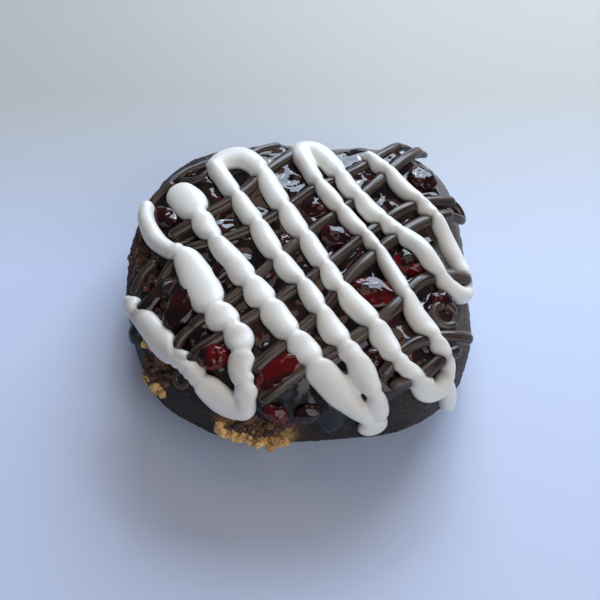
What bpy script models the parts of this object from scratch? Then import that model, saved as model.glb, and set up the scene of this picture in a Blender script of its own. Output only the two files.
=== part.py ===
"""Black forest bun: a roll of black cocoa dough under cherry filling, dark chocolate strands
and one long zigzag of white icing.

Lengths are in millimetres, and place() turns them into Blender's metres. A spot on the bun is
given as (u, v): how far it is from the middle of the top to the right and to the back, measured
along the surface, so that a topping past the shoulder runs down the wall.
"""
import math

import bmesh
import bpy
import numpy as np
from mathutils import Matrix, Vector, noise
from mathutils.geometry import interpolate_bezier

MM = 0.001
GAP = 0.45

# The dough roll, seen from above and from the side
HALF_WIDTH = 55.5
HALF_DEPTH = 57.0
SQUARENESS = 3.0
CROWN_HEIGHT = 40.0
WAIST_HEIGHT = 15.0
SHOULDER_POWER = 3.5
FOOT_POWER = 3.2
BASE_SINK = 1.0
SKEW = 2.4
SKEW_ANGLE = math.radians(166)
TAIL_ANGLE = math.radians(48)
TAIL_SPREAD = 0.32
TAIL_REACH = 4.8
MEAN_RADIUS = 54.0
# Uneven waves round the outline: how many, how high, and where they start
WAVES = ((3, 0.5, 0.3), (5, -0.9, 1.3))
# Shallow dents all over the wall: depth and size
DENT_DEPTH = 0.7
DENT_SIZE = 17.0

# Facets of the dough: columns, rows, and the arc length that a share of the rows reaches
BUN_COLUMNS = 48
BUN_ROWS = 18
ROW_SHARES = (0.0, 0.22, 0.86, 1.0)
ROW_ARCS = (0.0, 44.0, 100.0)
RELIEF_FROM = 48.0
RELIEF_TO = 96.0

# Creases that the rolled dough leaves round the wall: height, depth, half width
CREASES = ((28.5, 1.3, 2.4), (7.0, 1.2, 2.2))

# Torn crumb that bulges from the wall: u, v, half size across and down, height
CRUMB_CLUMPS = (
    (-19, -65, 12, 7, 3.6),
    (-8, -68, 8, 6, 3.2),
    (-54, -45, 5, 5, 2.4),
    (-41, -30, 7, 9, 0.8),
)
CRUMB_GRAIN = 4.0
CRUMB_MEAN = 0.6
CRUMB_SWING = 0.8

# The filling: how far it reaches from the middle, every 24 degrees from the right, and its depth
FILLING_REACH = (45, 56, 60, 53, 51, 51, 57, 52, 50, 47, 54, 64, 63, 61, 56)
FILLING_DEPTH = 2.6
FILLING_LUMP = 1.0
LUMP_FALL = 4.0
RIM_POWER = 0.18
MOUND_COLUMNS = 28
MOUND_ROWS = 8
UNDERSIDE_CLEAR = 0.8
# Runs of filling past its edge: half width, and the spots that its middle line passes through
FILLING_DRIPS = (
    (5.2, ((7, -49), (10, -57), (12, -62))),
    (4.4, ((19, -46), (22, -55))),
    (3.2, ((-42, -14), (-50, -21), (-57, -28))),
)

# Cherries: u, v, half length, half width, turn in degrees
CHERRIES = (
    (23, -20, 8.0, 6.0, -52),
    (37, -6, 7.4, 5.2, -60),
    (42, 31, 6.0, 5.2, -40),
    (-36, -22, 9.5, 5.6, -66),
    (-45, 14, 7.0, 4.6, 75),
    (-26, -41, 5.4, 4.2, 35),
    (-5, -46, 9.0, 5.8, 40),
    (-7, -57, 4.4, 3.4, -20),
    (3, -57, 4.6, 3.6, 10),
    (-24, -11, 6.6, 4.2, -56),
    (6, 15, 6.2, 5.2, 40),
    (12, 3, 6.0, 4.8, 45),
    (-5, 0, 4.4, 3.8, -40),
    (31, 15, 4.4, 3.8, 0),
    (45, -20, 4.4, 3.8, -50),
    (23, -41, 4.6, 3.6, 20),
)
CHERRY_RISE = 3.3
CHERRY_HALF_DEPTH = 3.2
CHERRY_FLATNESS = 0.8
CHERRY_COLUMNS = 10
CHERRY_ROWS = 6
CHERRY_DENT = 0.10
CHERRY_DENTS_ACROSS = 1.7
# A coarse ball has to be a little larger to keep its flats outside the cherry
HOLLOW_RADIUS = 1.08

# Dark chocolate strands: diameter, and the spots that its middle line passes through
STRANDS = (
    (3.2, ((-49, 21), (-47, 25), (-43, 29))),
    (2.8, ((-41, 30), (-36, 34), (-30, 35))),
    (2.8, ((-40, 29), (-34, 28), (-30, 33))),
    (3.6, ((-28, 37), (-19, 37), (-14, 42), (-6, 46))),
    (4.4, ((-42, 4), (-30, 12), (-19, 20), (-10, 31), (4, 46))),
    (3.8, ((-37, -2), (-23, 2), (-10, 9), (5, 22), (20, 32), (36, 49))),
    (2.8, ((31, 42), (38, 52), (44, 55), (46, 50), (38, 42))),
    (4.0, ((-34, -31), (-20, -21), (-4, -4), (13, 12), (24, 23), (43, 48))),
    (3.6, ((-26, -26), (-35, -32), (-38, -37), (-34, -41), (-25, -36))),
    (4.2, ((-33, -40), (-18, -31), (-3, -20), (11, -8), (24, 5), (38, 17), (53, 24))),
    (3.2, ((46, 21), (54, 24), (58, 20), (51, 17), (43, 12))),
    (4.6, ((-14, -46), (-2, -36), (8, -26), (19, -11), (31, 2), (43, 12), (51, 17))),
    (4.8, ((-12, -54), (3, -44), (17, -36), (29, -26), (40, -13), (56, -8))),
    (4.4, ((25, -47), (33, -38), (43, -33), (56, -30))),
    (4.4, ((28, -49), (37, -46), (45, -39), (51, -35))),
    (3.4, ((-37, -3), (-42, -9), (-45, -16))),
    (3.0, ((-46, -4), (-51, -8), (-54, -14))),
    (2.8, ((-46, -17), (-50, -19), (-53, -21))),
    (2.2, ((-30, -37), (-33, -41), (-36, -45))),
)
# Rings of chocolate: u, v, radius, diameter of the strand
STRAND_RINGS = ((-37, -46, 2.8, 2.2), (56, -9, 3.4, 2.4), (46, -25, 4.2, 3.4))
RING_START = math.radians(20)
RING_STEP = math.radians(45)
RING_SPOTS = 8
STRAND_SINK = 0.35
STRAND_STEP = 11.0
STRAND_SIDES = 6

# White icing that strands pinch: half width between them, and the spots its middle passes through
ICING_RUNS = (
    (3.0, ((-58, -15), (-51, -23), (-42, -37), (-34, -44), (-24, -54), (-16, -57))),
    (5.0, ((-42, -1), (-36, -6), (-31, -16), (-26, -26), (-18, -36), (-17, -45), (-15, -55))),
    (4.6, ((-43, 25), (-36, 17), (-29, 4), (-20, -10), (-11, -23), (-3, -34), (9, -48), (25, -61))),
    (3.6, ((-29, 35), (-22, 21), (-14, 7), (-6, -8), (3, -20), (10, -33), (19, -45), (28, -60))),
    (3.8, ((-15, 35), (-9, 22), (-2, 8), (5, -4), (13, -19), (22, -30), (31, -43), (43, -49))),
    (3.0, ((1, 38), (8, 21), (17, 8), (25, -3), (31, -15), (37, -28), (47, -40), (48, -47))),
    (3.5, ((9, 38), (16, 24), (25, 11), (35, 1), (42, -9), (49, -15), (56, -14))),
    (2.9, ((22, 38), (29, 31), (36, 22), (43, 14), (49, 6), (54, -3), (55, -12))),
)
# Turns and drips of icing, that nothing pinches: half width and spots
ICING_TURNS = (
    (2.6, ((-36, -5), (-42, -1), (-47, 5), (-49, 12), (-48, 20), (-43, 24), (-37, 19))),
    (3.6, ((-25, 27), (-29, 35), (-27, 41), (-20, 42), (-15, 36), (-11, 27))),
    (3.4, ((4, 30), (1, 38), (0, 44), (5, 46), (9, 40), (13, 30))),
    (3.6, ((34, -46), (41, -50), (47, -49), (48, -42))),
    (3.2, ((-31, -47), (-24, -54), (-17, -57), (-16, -50))),
    (3.0, ((46, -13), (52, -15), (56, -12), (54, -3))),
    (5.4, ((23, -57), (26, -62), (27, -67))),
    (2.8, ((48, -46), (54, -51), (61, -57))),
)
ICING_PINCHED_SHARE = 0.5
ICING_HALF_DEPTH = 2.1
ICING_THINNED = 0.35
ICING_LIFT = 2.6
ICING_CLEAR = 0.5
ICING_OVER_LUMPS = 1.15
PINCH_REACH = 3.0
ICING_STEP = 4.1
ICING_SIDES = 6
ICING_END = 0.9
GEL_SUNK = 1.7

# Lines are drawn in steps, and a rounded end has this share of the full girth at its tip
LINE_STEP = 4.0
TIP_GIRTH = 0.45
LONGEST_END = 0.45

# Colour, roughness and coat of each material
COLOURS = {
    "cocoa_crust": ((0.020, 0.014, 0.012), 0.75, 0.0),
    "cherry_filling": ((0.030, 0.006, 0.005), 0.12, 0.6),
    "cherry": ((0.160, 0.004, 0.006), 0.15, 0.5),
    "white_icing": ((0.800, 0.800, 0.760), 0.40, 0.1),
}


def clear_scene():
    """Remove every object that the file opens with."""
    for old in list(bpy.data.objects):
        bpy.data.objects.remove(old)


def material(name):
    """A plain material of the food's own colour."""
    colour, roughness, coat = COLOURS[name]
    made = bpy.data.materials.new(name)
    made.use_nodes = True
    shader = made.node_tree.nodes["Principled BSDF"]
    shader.inputs["Base Color"].default_value = (*colour, 1.0)
    shader.inputs["Roughness"].default_value = roughness
    shader.inputs["Coat Weight"].default_value = coat
    made.diffuse_color = (*colour, 1.0)
    return made


def outline(angle):
    """Radius of the waist at an angle: a rounded square, skewed, with the roll's tail."""
    square = abs(math.cos(angle) / HALF_WIDTH) ** SQUARENESS
    square += abs(math.sin(angle) / HALF_DEPTH) ** SQUARENESS
    turn = (angle - TAIL_ANGLE + math.pi) % (2 * math.pi) - math.pi
    tail = TAIL_REACH * math.exp(-((turn / TAIL_SPREAD) ** 2))
    skew = SKEW * math.cos(2 * (angle - SKEW_ANGLE))
    waves = sum(high * math.sin(count * angle + start) for count, high, start in WAVES)
    return square ** (-1 / SQUARENESS) + tail + skew + waves


def side_profile(steps=600):
    """Radius, height, arc length and outward normal down the side, from the top to the base."""
    around = np.linspace(math.pi / 2, -math.pi / 2, steps)
    across, up = np.abs(np.cos(around)), np.sin(around)
    power = np.where(up >= 0, SHOULDER_POWER, FOOT_POWER)
    reach = np.where(up >= 0, CROWN_HEIGHT - WAIST_HEIGHT, WAIST_HEIGHT + BASE_SINK)
    radius = MEAN_RADIUS * across ** (2 / power)
    height = WAIST_HEIGHT + reach * np.sign(up) * np.abs(up) ** (2 / power)
    height = np.maximum(height, 0.0)
    arc = np.concatenate([[0.0], np.cumsum(np.hypot(np.diff(radius), np.diff(height)))])
    slope_r, slope_z = np.gradient(radius, arc), np.gradient(height, arc)
    length = np.hypot(slope_r, slope_z)
    return radius, height, arc, -slope_z / length, slope_r / length


RADIUS, HEIGHT, ARC, NORMAL_R, NORMAL_Z = side_profile()


def place(u, v, rise=0.0):
    """Point over the bun at (u, v), and the way out there."""
    angle = math.atan2(v, u)
    scale = outline(angle) / MEAN_RADIUS
    arc = math.hypot(u, v) / scale
    out_r, out_z = np.interp(arc, ARC, NORMAL_R), np.interp(arc, ARC, NORMAL_Z)
    radius = np.interp(arc, ARC, RADIUS) * scale + rise * out_r
    height = np.interp(arc, ARC, HEIGHT) + rise * out_z
    way = Vector((math.cos(angle), math.sin(angle), 0.0))
    point = way * radius + Vector((0, 0, height))
    return point * MM, (way * out_r + Vector((0, 0, out_z))).normalized()


def relief(u, v, height):
    """How far the dough stands out from its plain form: creases, dents and torn crumb."""
    rise = DENT_DEPTH * noise.noise(Vector((u, v, height)) / DENT_SIZE)
    for level, depth, half in CREASES:
        rise -= depth * math.exp(-(((height - level) / half) ** 2))
    for at_u, at_v, half_u, half_v, lump in CRUMB_CLUMPS:
        near = math.exp(-(((u - at_u) / half_u) ** 4) - ((v - at_v) / half_v) ** 4)
        grain = CRUMB_MEAN + CRUMB_SWING * noise.noise(Vector((u, v, height)) / CRUMB_GRAIN)
        rise += near * lump * grain
    return rise


def filling_edge(angle):
    """Reach of the filling at an angle, smooth between its named values."""
    turn = (angle / (2 * math.pi)) % 1.0 * len(FILLING_REACH)
    first = int(turn)
    part = turn - first
    ease = part * part * (3 - 2 * part)
    here = FILLING_REACH[first % len(FILLING_REACH)]
    after = FILLING_REACH[(first + 1) % len(FILLING_REACH)]
    return here + (after - here) * ease


def filling_top(u, v):
    """Depth of the filling over the dough at (u, v), with a rounded rim and lumps by cherries."""
    share = math.hypot(u, v) / filling_edge(math.atan2(v, u))
    if share >= 1.0:
        return 0.0
    lumps = 0.0
    for at_u, at_v, half_length, half_width, _ in CHERRIES:
        away = math.hypot(u - at_u, v - at_v) / (half_length + half_width)
        lumps = max(lumps, math.exp(-LUMP_FALL * away * away))
    return (FILLING_DEPTH + FILLING_LUMP * lumps) * (1 - share * share) ** RIM_POWER


def topping_top(u, v):
    """Height of the filling or of a cherry that stands out of it at (u, v)."""
    top = filling_top(u, v)
    for at_u, at_v, half_length, half_width, turn in CHERRIES:
        away = Vector((u - at_u, v - at_v))
        away.rotate(Matrix.Rotation(-math.radians(turn), 2))
        share = (away.x / half_length) ** 2 + (away.y / half_width) ** 2
        if share < 1.0:
            top = max(top, CHERRY_RISE + CHERRY_HALF_DEPTH * math.sqrt(1.0 - share))
    return top


def new_object(name, bm, finish=None):
    """Object from a bmesh, smooth shaded, with its material."""
    mesh = bpy.data.meshes.new(name)
    bm.to_mesh(mesh)
    bm.free()
    mesh.shade_smooth()
    made = bpy.data.objects.new(name, mesh)
    bpy.context.scene.collection.objects.link(made)
    if finish:
        mesh.materials.append(finish)
    return made


def bun(name, grow=0.0, finish=None):
    """The dough: a ball whose rings are laid down the side profile, flat underneath."""
    bm = bmesh.new()
    bmesh.ops.create_uvsphere(bm, u_segments=BUN_COLUMNS, v_segments=BUN_ROWS, radius=1.0)
    for vert in bm.verts:
        share = math.acos(max(-1.0, min(1.0, vert.co.z))) / math.pi
        arc = np.interp(share, ROW_SHARES, (*ROW_ARCS, ARC[-1]))
        angle = math.atan2(vert.co.y, vert.co.x)
        scale = outline(angle) / MEAN_RADIUS
        u, v = arc * scale * math.cos(angle), arc * scale * math.sin(angle)
        height = np.interp(arc, ARC, HEIGHT)
        rise = relief(u, v, height) if RELIEF_FROM < arc < RELIEF_TO else 0.0
        vert.co = place(u, v, rise)[0]
        vert.co.z = max(vert.co.z, 0.0)
    if grow:
        bm.normal_update()
        for vert in bm.verts:
            vert.co += vert.normal * grow * MM
    return new_object(name, bm, finish)


def filling_mound(name, grow=0.0):
    """The cherry filling: a thick pool over the top, its underside sunk in the dough."""
    bm = bmesh.new()
    bmesh.ops.create_uvsphere(bm, u_segments=MOUND_COLUMNS, v_segments=MOUND_ROWS, radius=1.0)
    for vert in bm.verts:
        share = math.hypot(vert.co.x, vert.co.y)
        angle = math.atan2(vert.co.y, vert.co.x)
        reach = share * filling_edge(angle)
        u, v = reach * math.cos(angle), reach * math.sin(angle)
        above = vert.co.z > -1e-6
        spread = (reach + grow) / reach if reach > 1.0 else 1.0
        rise = filling_top(u, v) + grow if above else UNDERSIDE_CLEAR
        vert.co = place(u * spread, v * spread, rise)[0]
    return new_object(name, bm)


def cherry(name, spot, grow=0.0, finish=None):
    """One cherry: a plump ball pressed flat, lying in the filling. A grown one is coarser."""
    u, v, half_length, half_width, turn = spot
    bm = bmesh.new()
    if grow:
        bmesh.ops.create_icosphere(bm, subdivisions=2, radius=HOLLOW_RADIUS)
    else:
        bmesh.ops.create_uvsphere(bm, u_segments=CHERRY_COLUMNS, v_segments=CHERRY_ROWS, radius=1.0)
    half_depth = min(CHERRY_HALF_DEPTH, half_width * CHERRY_FLATNESS)
    size = Vector((half_length + grow, half_width + grow, half_depth + grow)) * MM
    middle, out = place(u, v, CHERRY_RISE)
    facing = out.to_track_quat("Z", "Y").to_matrix().to_4x4()
    lie = Matrix.Translation(middle) @ facing @ Matrix.Rotation(math.radians(turn), 4, "Z")
    for vert in bm.verts:
        seed = Vector((u, v, 0.0))
        dent = 1.0 + CHERRY_DENT * noise.noise(vert.co * CHERRY_DENTS_ACROSS + seed)
        vert.co = lie @ Vector([vert.co[i] * size[i] * dent for i in range(3)])
    return new_object(name, bm, finish)


def through(spots, step=LINE_STEP):
    """Spots about a step apart along a smooth line that passes through the named ones."""
    named = [Vector(spot) for spot in spots]
    named = [2 * named[0] - named[1], *named, 2 * named[-1] - named[-2]]
    line = []
    for before, start, end, after in zip(named, named[1:], named[2:], named[3:]):
        count = max(1, round((end - start).length / step))
        out, back = start + (end - before) / 6, end - (after - start) / 6
        line += interpolate_bezier(start, out, back, end, count + 1)[:-1]
    return [*line, named[-2]]


def resampled(line, step, round_end):
    """Spots a step apart along a line, closer at its ends, with each one's share of fullness."""
    gone = [0.0]
    for a, b in zip(line, line[1:]):
        gone.append(gone[-1] + (b - a).length)
    length = gone[-1]
    cap = min(round_end, LONGEST_END * length)
    inner = max(1, round((length - 2 * cap) / step))
    stops = [0.0, *[cap + (length - 2 * cap) * i / inner for i in range(inner + 1)], length]
    found = []
    for stop in stops:
        x = np.interp(stop, gone, [spot.x for spot in line])
        y = np.interp(stop, gone, [spot.y for spot in line])
        inside = min(1.0, min(stop, length - stop) / cap)
        full = math.sqrt(1.0 - (1.0 - inside) ** 2)
        found.append((Vector((x, y)), TIP_GIRTH + (1.0 - TIP_GIRTH) * full))
    return found


def nearest_strand(spot, lines):
    """Distance from a spot to the nearest chocolate strand."""
    best = 1e9
    for line in lines:
        for a, b in zip(line, line[1:]):
            way = b - a
            part = max(0.0, min(1.0, (spot - a).dot(way) / way.length_squared))
            best = min(best, (spot - a - way * part).length)
    return best


def rope(name, stations, sides, grow=0.0):
    """A closed rope over the bun. A station is (spot, rise, half width, half depth)."""
    points = [place(spot.x, spot.y, rise) for spot, rise, _, _ in stations]
    last = len(stations) - 1
    bm = bmesh.new()
    ring = bmesh.ops.create_circle(bm, cap_ends=True, segments=sides, radius=1.0)["verts"]
    for i, (_, _, half_width, half_depth) in enumerate(stations):
        if i:
            edges = [e for e in bm.edges if e.verts[0] in ring and e.verts[1] in ring]
            grown = bmesh.ops.extrude_edge_only(bm, edges=edges)["geom"]
            fresh = {v for v in grown if isinstance(v, bmesh.types.BMVert)}
            ring = [next(e.other_vert(v) for e in v.link_edges if e.other_vert(v) in fresh)
                    for v in ring]
        middle, out = points[i]
        along = (points[min(i + 1, last)][0] - points[max(i - 1, 0)][0]).normalized()
        side = along.cross(out).normalized()
        upward = side.cross(along)
        for k, vert in enumerate(ring):
            angle = 2 * math.pi * k / sides
            wide = side * math.cos(angle) * (half_width + grow)
            deep = upward * math.sin(angle) * (half_depth + grow)
            vert.co = middle + (wide + deep) * MM
    bmesh.ops.contextual_create(bm, geom=ring)
    bmesh.ops.recalc_face_normals(bm, faces=bm.faces)
    return new_object(name, bm)


def smoothed(values):
    """Each value averaged with its neighbours."""
    ends = [values[0], *values, values[-1]]
    return [(a + 2 * b + c) / 4 for a, b, c in zip(ends, ends[1:], ends[2:])]


def strand(name, line, diameter, grow=0.0):
    """A round strand of chocolate, a little sunk in the filling that it lies on."""
    spots = resampled(line, STRAND_STEP, diameter / 2)
    ground = smoothed([filling_top(spot.x, spot.y) for spot, _ in spots])
    sunk, afloat = diameter * (0.5 - STRAND_SINK), diameter * 0.5 + UNDERSIDE_CLEAR
    stations = [(spot, max(top + sunk, afloat), full * diameter / 2, full * diameter / 2)
                for (spot, full), top in zip(spots, ground)]
    return rope(name, stations, STRAND_SIDES, grow)


def strand_lines():
    """The middle lines of all chocolate strands and rings, with their diameters."""
    lines = [(through(spots), size) for size, spots in STRANDS]
    for u, v, radius, size in STRAND_RINGS:
        angles = [RING_START + RING_STEP * i for i in range(RING_SPOTS)]
        ring = [Vector((u + radius * math.cos(a), v + radius * math.sin(a))) for a in angles]
        lines.append((ring, size))
    return lines


def run(name, line, half_width, strands=(), clear=ICING_CLEAR, grow=0.0):
    """A run of icing or gel, pinched and lifted where it crosses a strand, swollen between."""
    spots = resampled(line, ICING_STEP, half_width * ICING_END)
    ground = smoothed([topping_top(spot.x, spot.y) for spot, _ in spots])
    stations = []
    for (spot, full), top in zip(spots, ground):
        near = math.exp(-((nearest_strand(spot, strands) / PINCH_REACH) ** 3))
        wide = half_width * (1.0 - (1.0 - ICING_PINCHED_SHARE) * near)
        deep = ICING_HALF_DEPTH * (1.0 - ICING_THINNED * near)
        rise = ICING_OVER_LUMPS * top + deep + clear + ICING_LIFT * near
        stations.append((spot, rise, full * wide, full * deep))
    return rope(name, stations, ICING_SIDES, grow)


def gel_drips(name, grow=0.0):
    """Runs of filling that hang from its edge, half sunk in it."""
    return [run(name, through(spots), half, (), -GEL_SUNK, grow) for half, spots in FILLING_DRIPS]


def combine(target, others, operation, solver="EXACT"):
    """One Boolean with a collection of other objects, applied, and those objects removed."""
    group = bpy.data.collections.new("operands")
    for other in others:
        group.objects.link(other)
    step = target.modifiers.new("Combine", "BOOLEAN")
    step.operation = operation
    step.solver = solver
    step.operand_type = "COLLECTION"
    step.collection = group
    graph = bpy.context.evaluated_depsgraph_get()
    done = bpy.data.meshes.new_from_object(target.evaluated_get(graph))
    target.modifiers.clear()
    target.data = done
    for other in list(group.objects):
        bpy.data.objects.remove(other)
    bpy.data.collections.remove(group)


def islands(bm):
    """The separate shells of a mesh, each a set of faces, the largest first."""
    left = set(bm.faces)
    found = []
    while left:
        shell, front = set(), [left.pop()]
        while front:
            face = front.pop()
            shell.add(face)
            near = {other for edge in face.edges for other in edge.link_faces} & left
            left -= near
            front.extend(near)
        found.append(shell)
    return sorted(found, key=lambda shell: -sum(face.calc_area() for face in shell))


def tidy(target, finish):
    """Drop the scraps and the fins that cutting leaves, and set the material."""
    bm = bmesh.new()
    bm.from_mesh(target.data)
    for scrap in islands(bm)[1:]:
        bmesh.ops.delete(bm, geom=list(scrap), context="FACES")
    bmesh.ops.delete(bm, geom=[v for v in bm.verts if not v.link_faces], context="VERTS")
    loose = [v for v in bm.verts if len(v.link_edges) == 2]
    bmesh.ops.dissolve_verts(bm, verts=loose)
    bmesh.ops.triangulate(bm, faces=bm.faces)
    same = {}
    for face in bm.faces:
        same.setdefault(frozenset(face.verts), []).append(face)
    fins = [face for faces in same.values() if len(faces) > 1 for face in faces]
    bmesh.ops.delete(bm, geom=fins, context="FACES")
    bm.to_mesh(target.data)
    bm.free()
    target.data.materials.clear()
    target.data.materials.append(finish)
    target.data.shade_smooth()


def make_filling(finish):
    """The filling with its drips and every chocolate strand, one solid on the dough."""
    whole = filling_mound("cherry_filling")
    combine(whole, gel_drips("drip"), "UNION", "MANIFOLD")
    hollows = [cherry("hollow", spot, GAP) for spot in CHERRIES]
    combine(whole, hollows, "DIFFERENCE", "MANIFOLD")
    strands = [strand("strand", line, size) for line, size in strand_lines()]
    combine(whole, strands, "UNION", "MANIFOLD")
    combine(whole, [bun("dough", GAP)], "DIFFERENCE", "MANIFOLD")
    tidy(whole, finish)


def make_cherries(finish):
    """Each cherry, with the dents that the strands over it press in."""
    for number, spot in enumerate(CHERRIES, start=1):
        made = cherry(f"cherry_{number:02d}", spot)
        over = [strand("dent", line, size, GAP) for line, size in strand_lines()
                if nearest_strand(Vector(spot[:2]), [line]) < spot[2] + size]
        combine(made, over + [bun("dough", GAP)], "DIFFERENCE")
        tidy(made, finish)


def make_icing(finish):
    """The zigzag of icing, laid over everything else."""
    strands = [line for line, _ in strand_lines()]
    pieces = [run("run", through(spots), half, strands) for half, spots in ICING_RUNS]
    pieces += [run("turn", through(spots), half) for half, spots in ICING_TURNS]
    whole = pieces.pop(0)
    whole.name = "white_icing"
    combine(whole, pieces, "UNION", "MANIFOLD")
    below = [strand("dent", line, size, GAP) for line, size in strand_lines()]
    below += [cherry("dent", spot, GAP) for spot in CHERRIES]
    below += [filling_mound("dent", GAP), bun("dent", GAP)]
    below += gel_drips("dent", GAP)
    combine(whole, below, "DIFFERENCE", "MANIFOLD")
    tidy(whole, finish)


def main():
    """Build the bun from the dough up."""
    clear_scene()
    bun("bun", finish=material("cocoa_crust"))
    make_filling(material("cherry_filling"))
    make_cherries(material("cherry"))
    make_icing(material("white_icing"))


main()
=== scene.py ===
"""Looks of a black forest bun: cocoa crust, cherry gel, chocolate strands and white icing.

Lengths are in millimetres until they become the points of a mesh. A spot on the bun is given as
(u, v): how far it lies from the middle of the top to the right and to the back, measured along
the surface, so that a topping past the shoulder runs down the wall.
"""
import logging
import math
import random
from dataclasses import dataclass, field
from enum import Enum

import bmesh
import bpy
import numpy as np
from mathutils import Matrix, Vector, noise
from mathutils.bvhtree import BVHTree
from mathutils.geometry import interpolate_bezier


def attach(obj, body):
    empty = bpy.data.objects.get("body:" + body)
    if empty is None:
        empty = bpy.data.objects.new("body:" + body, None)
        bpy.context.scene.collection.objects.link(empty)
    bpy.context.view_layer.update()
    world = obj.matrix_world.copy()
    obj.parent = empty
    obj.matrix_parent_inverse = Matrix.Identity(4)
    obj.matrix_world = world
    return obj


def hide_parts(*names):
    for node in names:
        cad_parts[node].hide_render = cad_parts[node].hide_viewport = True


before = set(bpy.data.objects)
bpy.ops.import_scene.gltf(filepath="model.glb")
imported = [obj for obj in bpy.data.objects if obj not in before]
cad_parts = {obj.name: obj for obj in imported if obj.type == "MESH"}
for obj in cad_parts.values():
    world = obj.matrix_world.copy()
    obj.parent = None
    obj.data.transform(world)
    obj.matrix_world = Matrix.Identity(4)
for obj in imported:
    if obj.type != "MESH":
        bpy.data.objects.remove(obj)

LOG = logging.getLogger("bun")
MM = 0.001
BODY = "root"

# The Mix node when it mixes colours: its setting and its sockets
RGBA = {"data_type": "RGBA"}
MIX_SHARE = 0
MIX_A = 6
MIX_B = 7
MIX_RESULT = 2


class Crumb(Enum):
    """What a torn place in the crust shows."""

    GOLDEN = "golden"
    DARK = "dark"


def linear(hex_colour: str) -> tuple[float, float, float, float]:
    """Turns an sRGB hex colour to the linear colour that the shaders take.

    Args:
        hex_colour: Six hex digits after a hash sign.

    Returns:
        Red, green, blue and an alpha of one.
    """
    shares = [int(hex_colour[at:at + 2], 16) / 255 for at in (1, 3, 5)]
    lit = [s / 12.92 if s <= 0.04045 else ((s + 0.055) / 1.055) ** 2.4 for s in shares]
    return (*lit, 1.0)


def per_mm(size: float) -> float:
    """Gives the texture scale whose pattern repeats about every size millimetres."""
    return 1000.0 / size


def add_node(tree: bpy.types.NodeTree, kind: str, settings: dict, links: dict) -> bpy.types.Node:
    """Adds a node to a material.

    Args:
        tree: The material's node tree.
        kind: The node's type, without its leading ShaderNode.
        settings: Values by the name or number of a socket, or by the name of a property. A text
            given for a socket is an sRGB hex colour.
        links: Output sockets by the name or number of the socket that they feed.

    Returns:
        The new node.
    """
    made = tree.nodes.new(f"ShaderNode{kind}")
    for name, value in settings.items():
        if isinstance(name, str) and name not in made.inputs:
            setattr(made, name, value)
        else:
            made.inputs[name].default_value = linear(value) if isinstance(value, str) else value
    for name, source in links.items():
        tree.links.new(source, made.inputs[name])
    return made


@dataclass(frozen=True)
class Finish:
    """A procedural material. Each kind fills in paint()."""

    name: str = "finish"

    def material(self) -> bpy.types.Material:
        """Makes the material, with patterns laid by the mesh's own coordinates.

        Returns:
            The material.
        """
        made = bpy.data.materials.new(self.name)
        made.use_nodes = True
        tree = made.node_tree
        spot = add_node(tree, "TexCoord", {}, {}).outputs
        self.paint(tree, tree.nodes["Principled BSDF"].inputs, spot)
        return made

    def paint(self, tree: bpy.types.NodeTree, shader: dict, spot: dict) -> None:
        """Adds the nodes.

        Args:
            tree: The node tree.
            shader: Inputs of the Principled shader.
            spot: Outputs of the Texture Coordinate node.
        """


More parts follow.
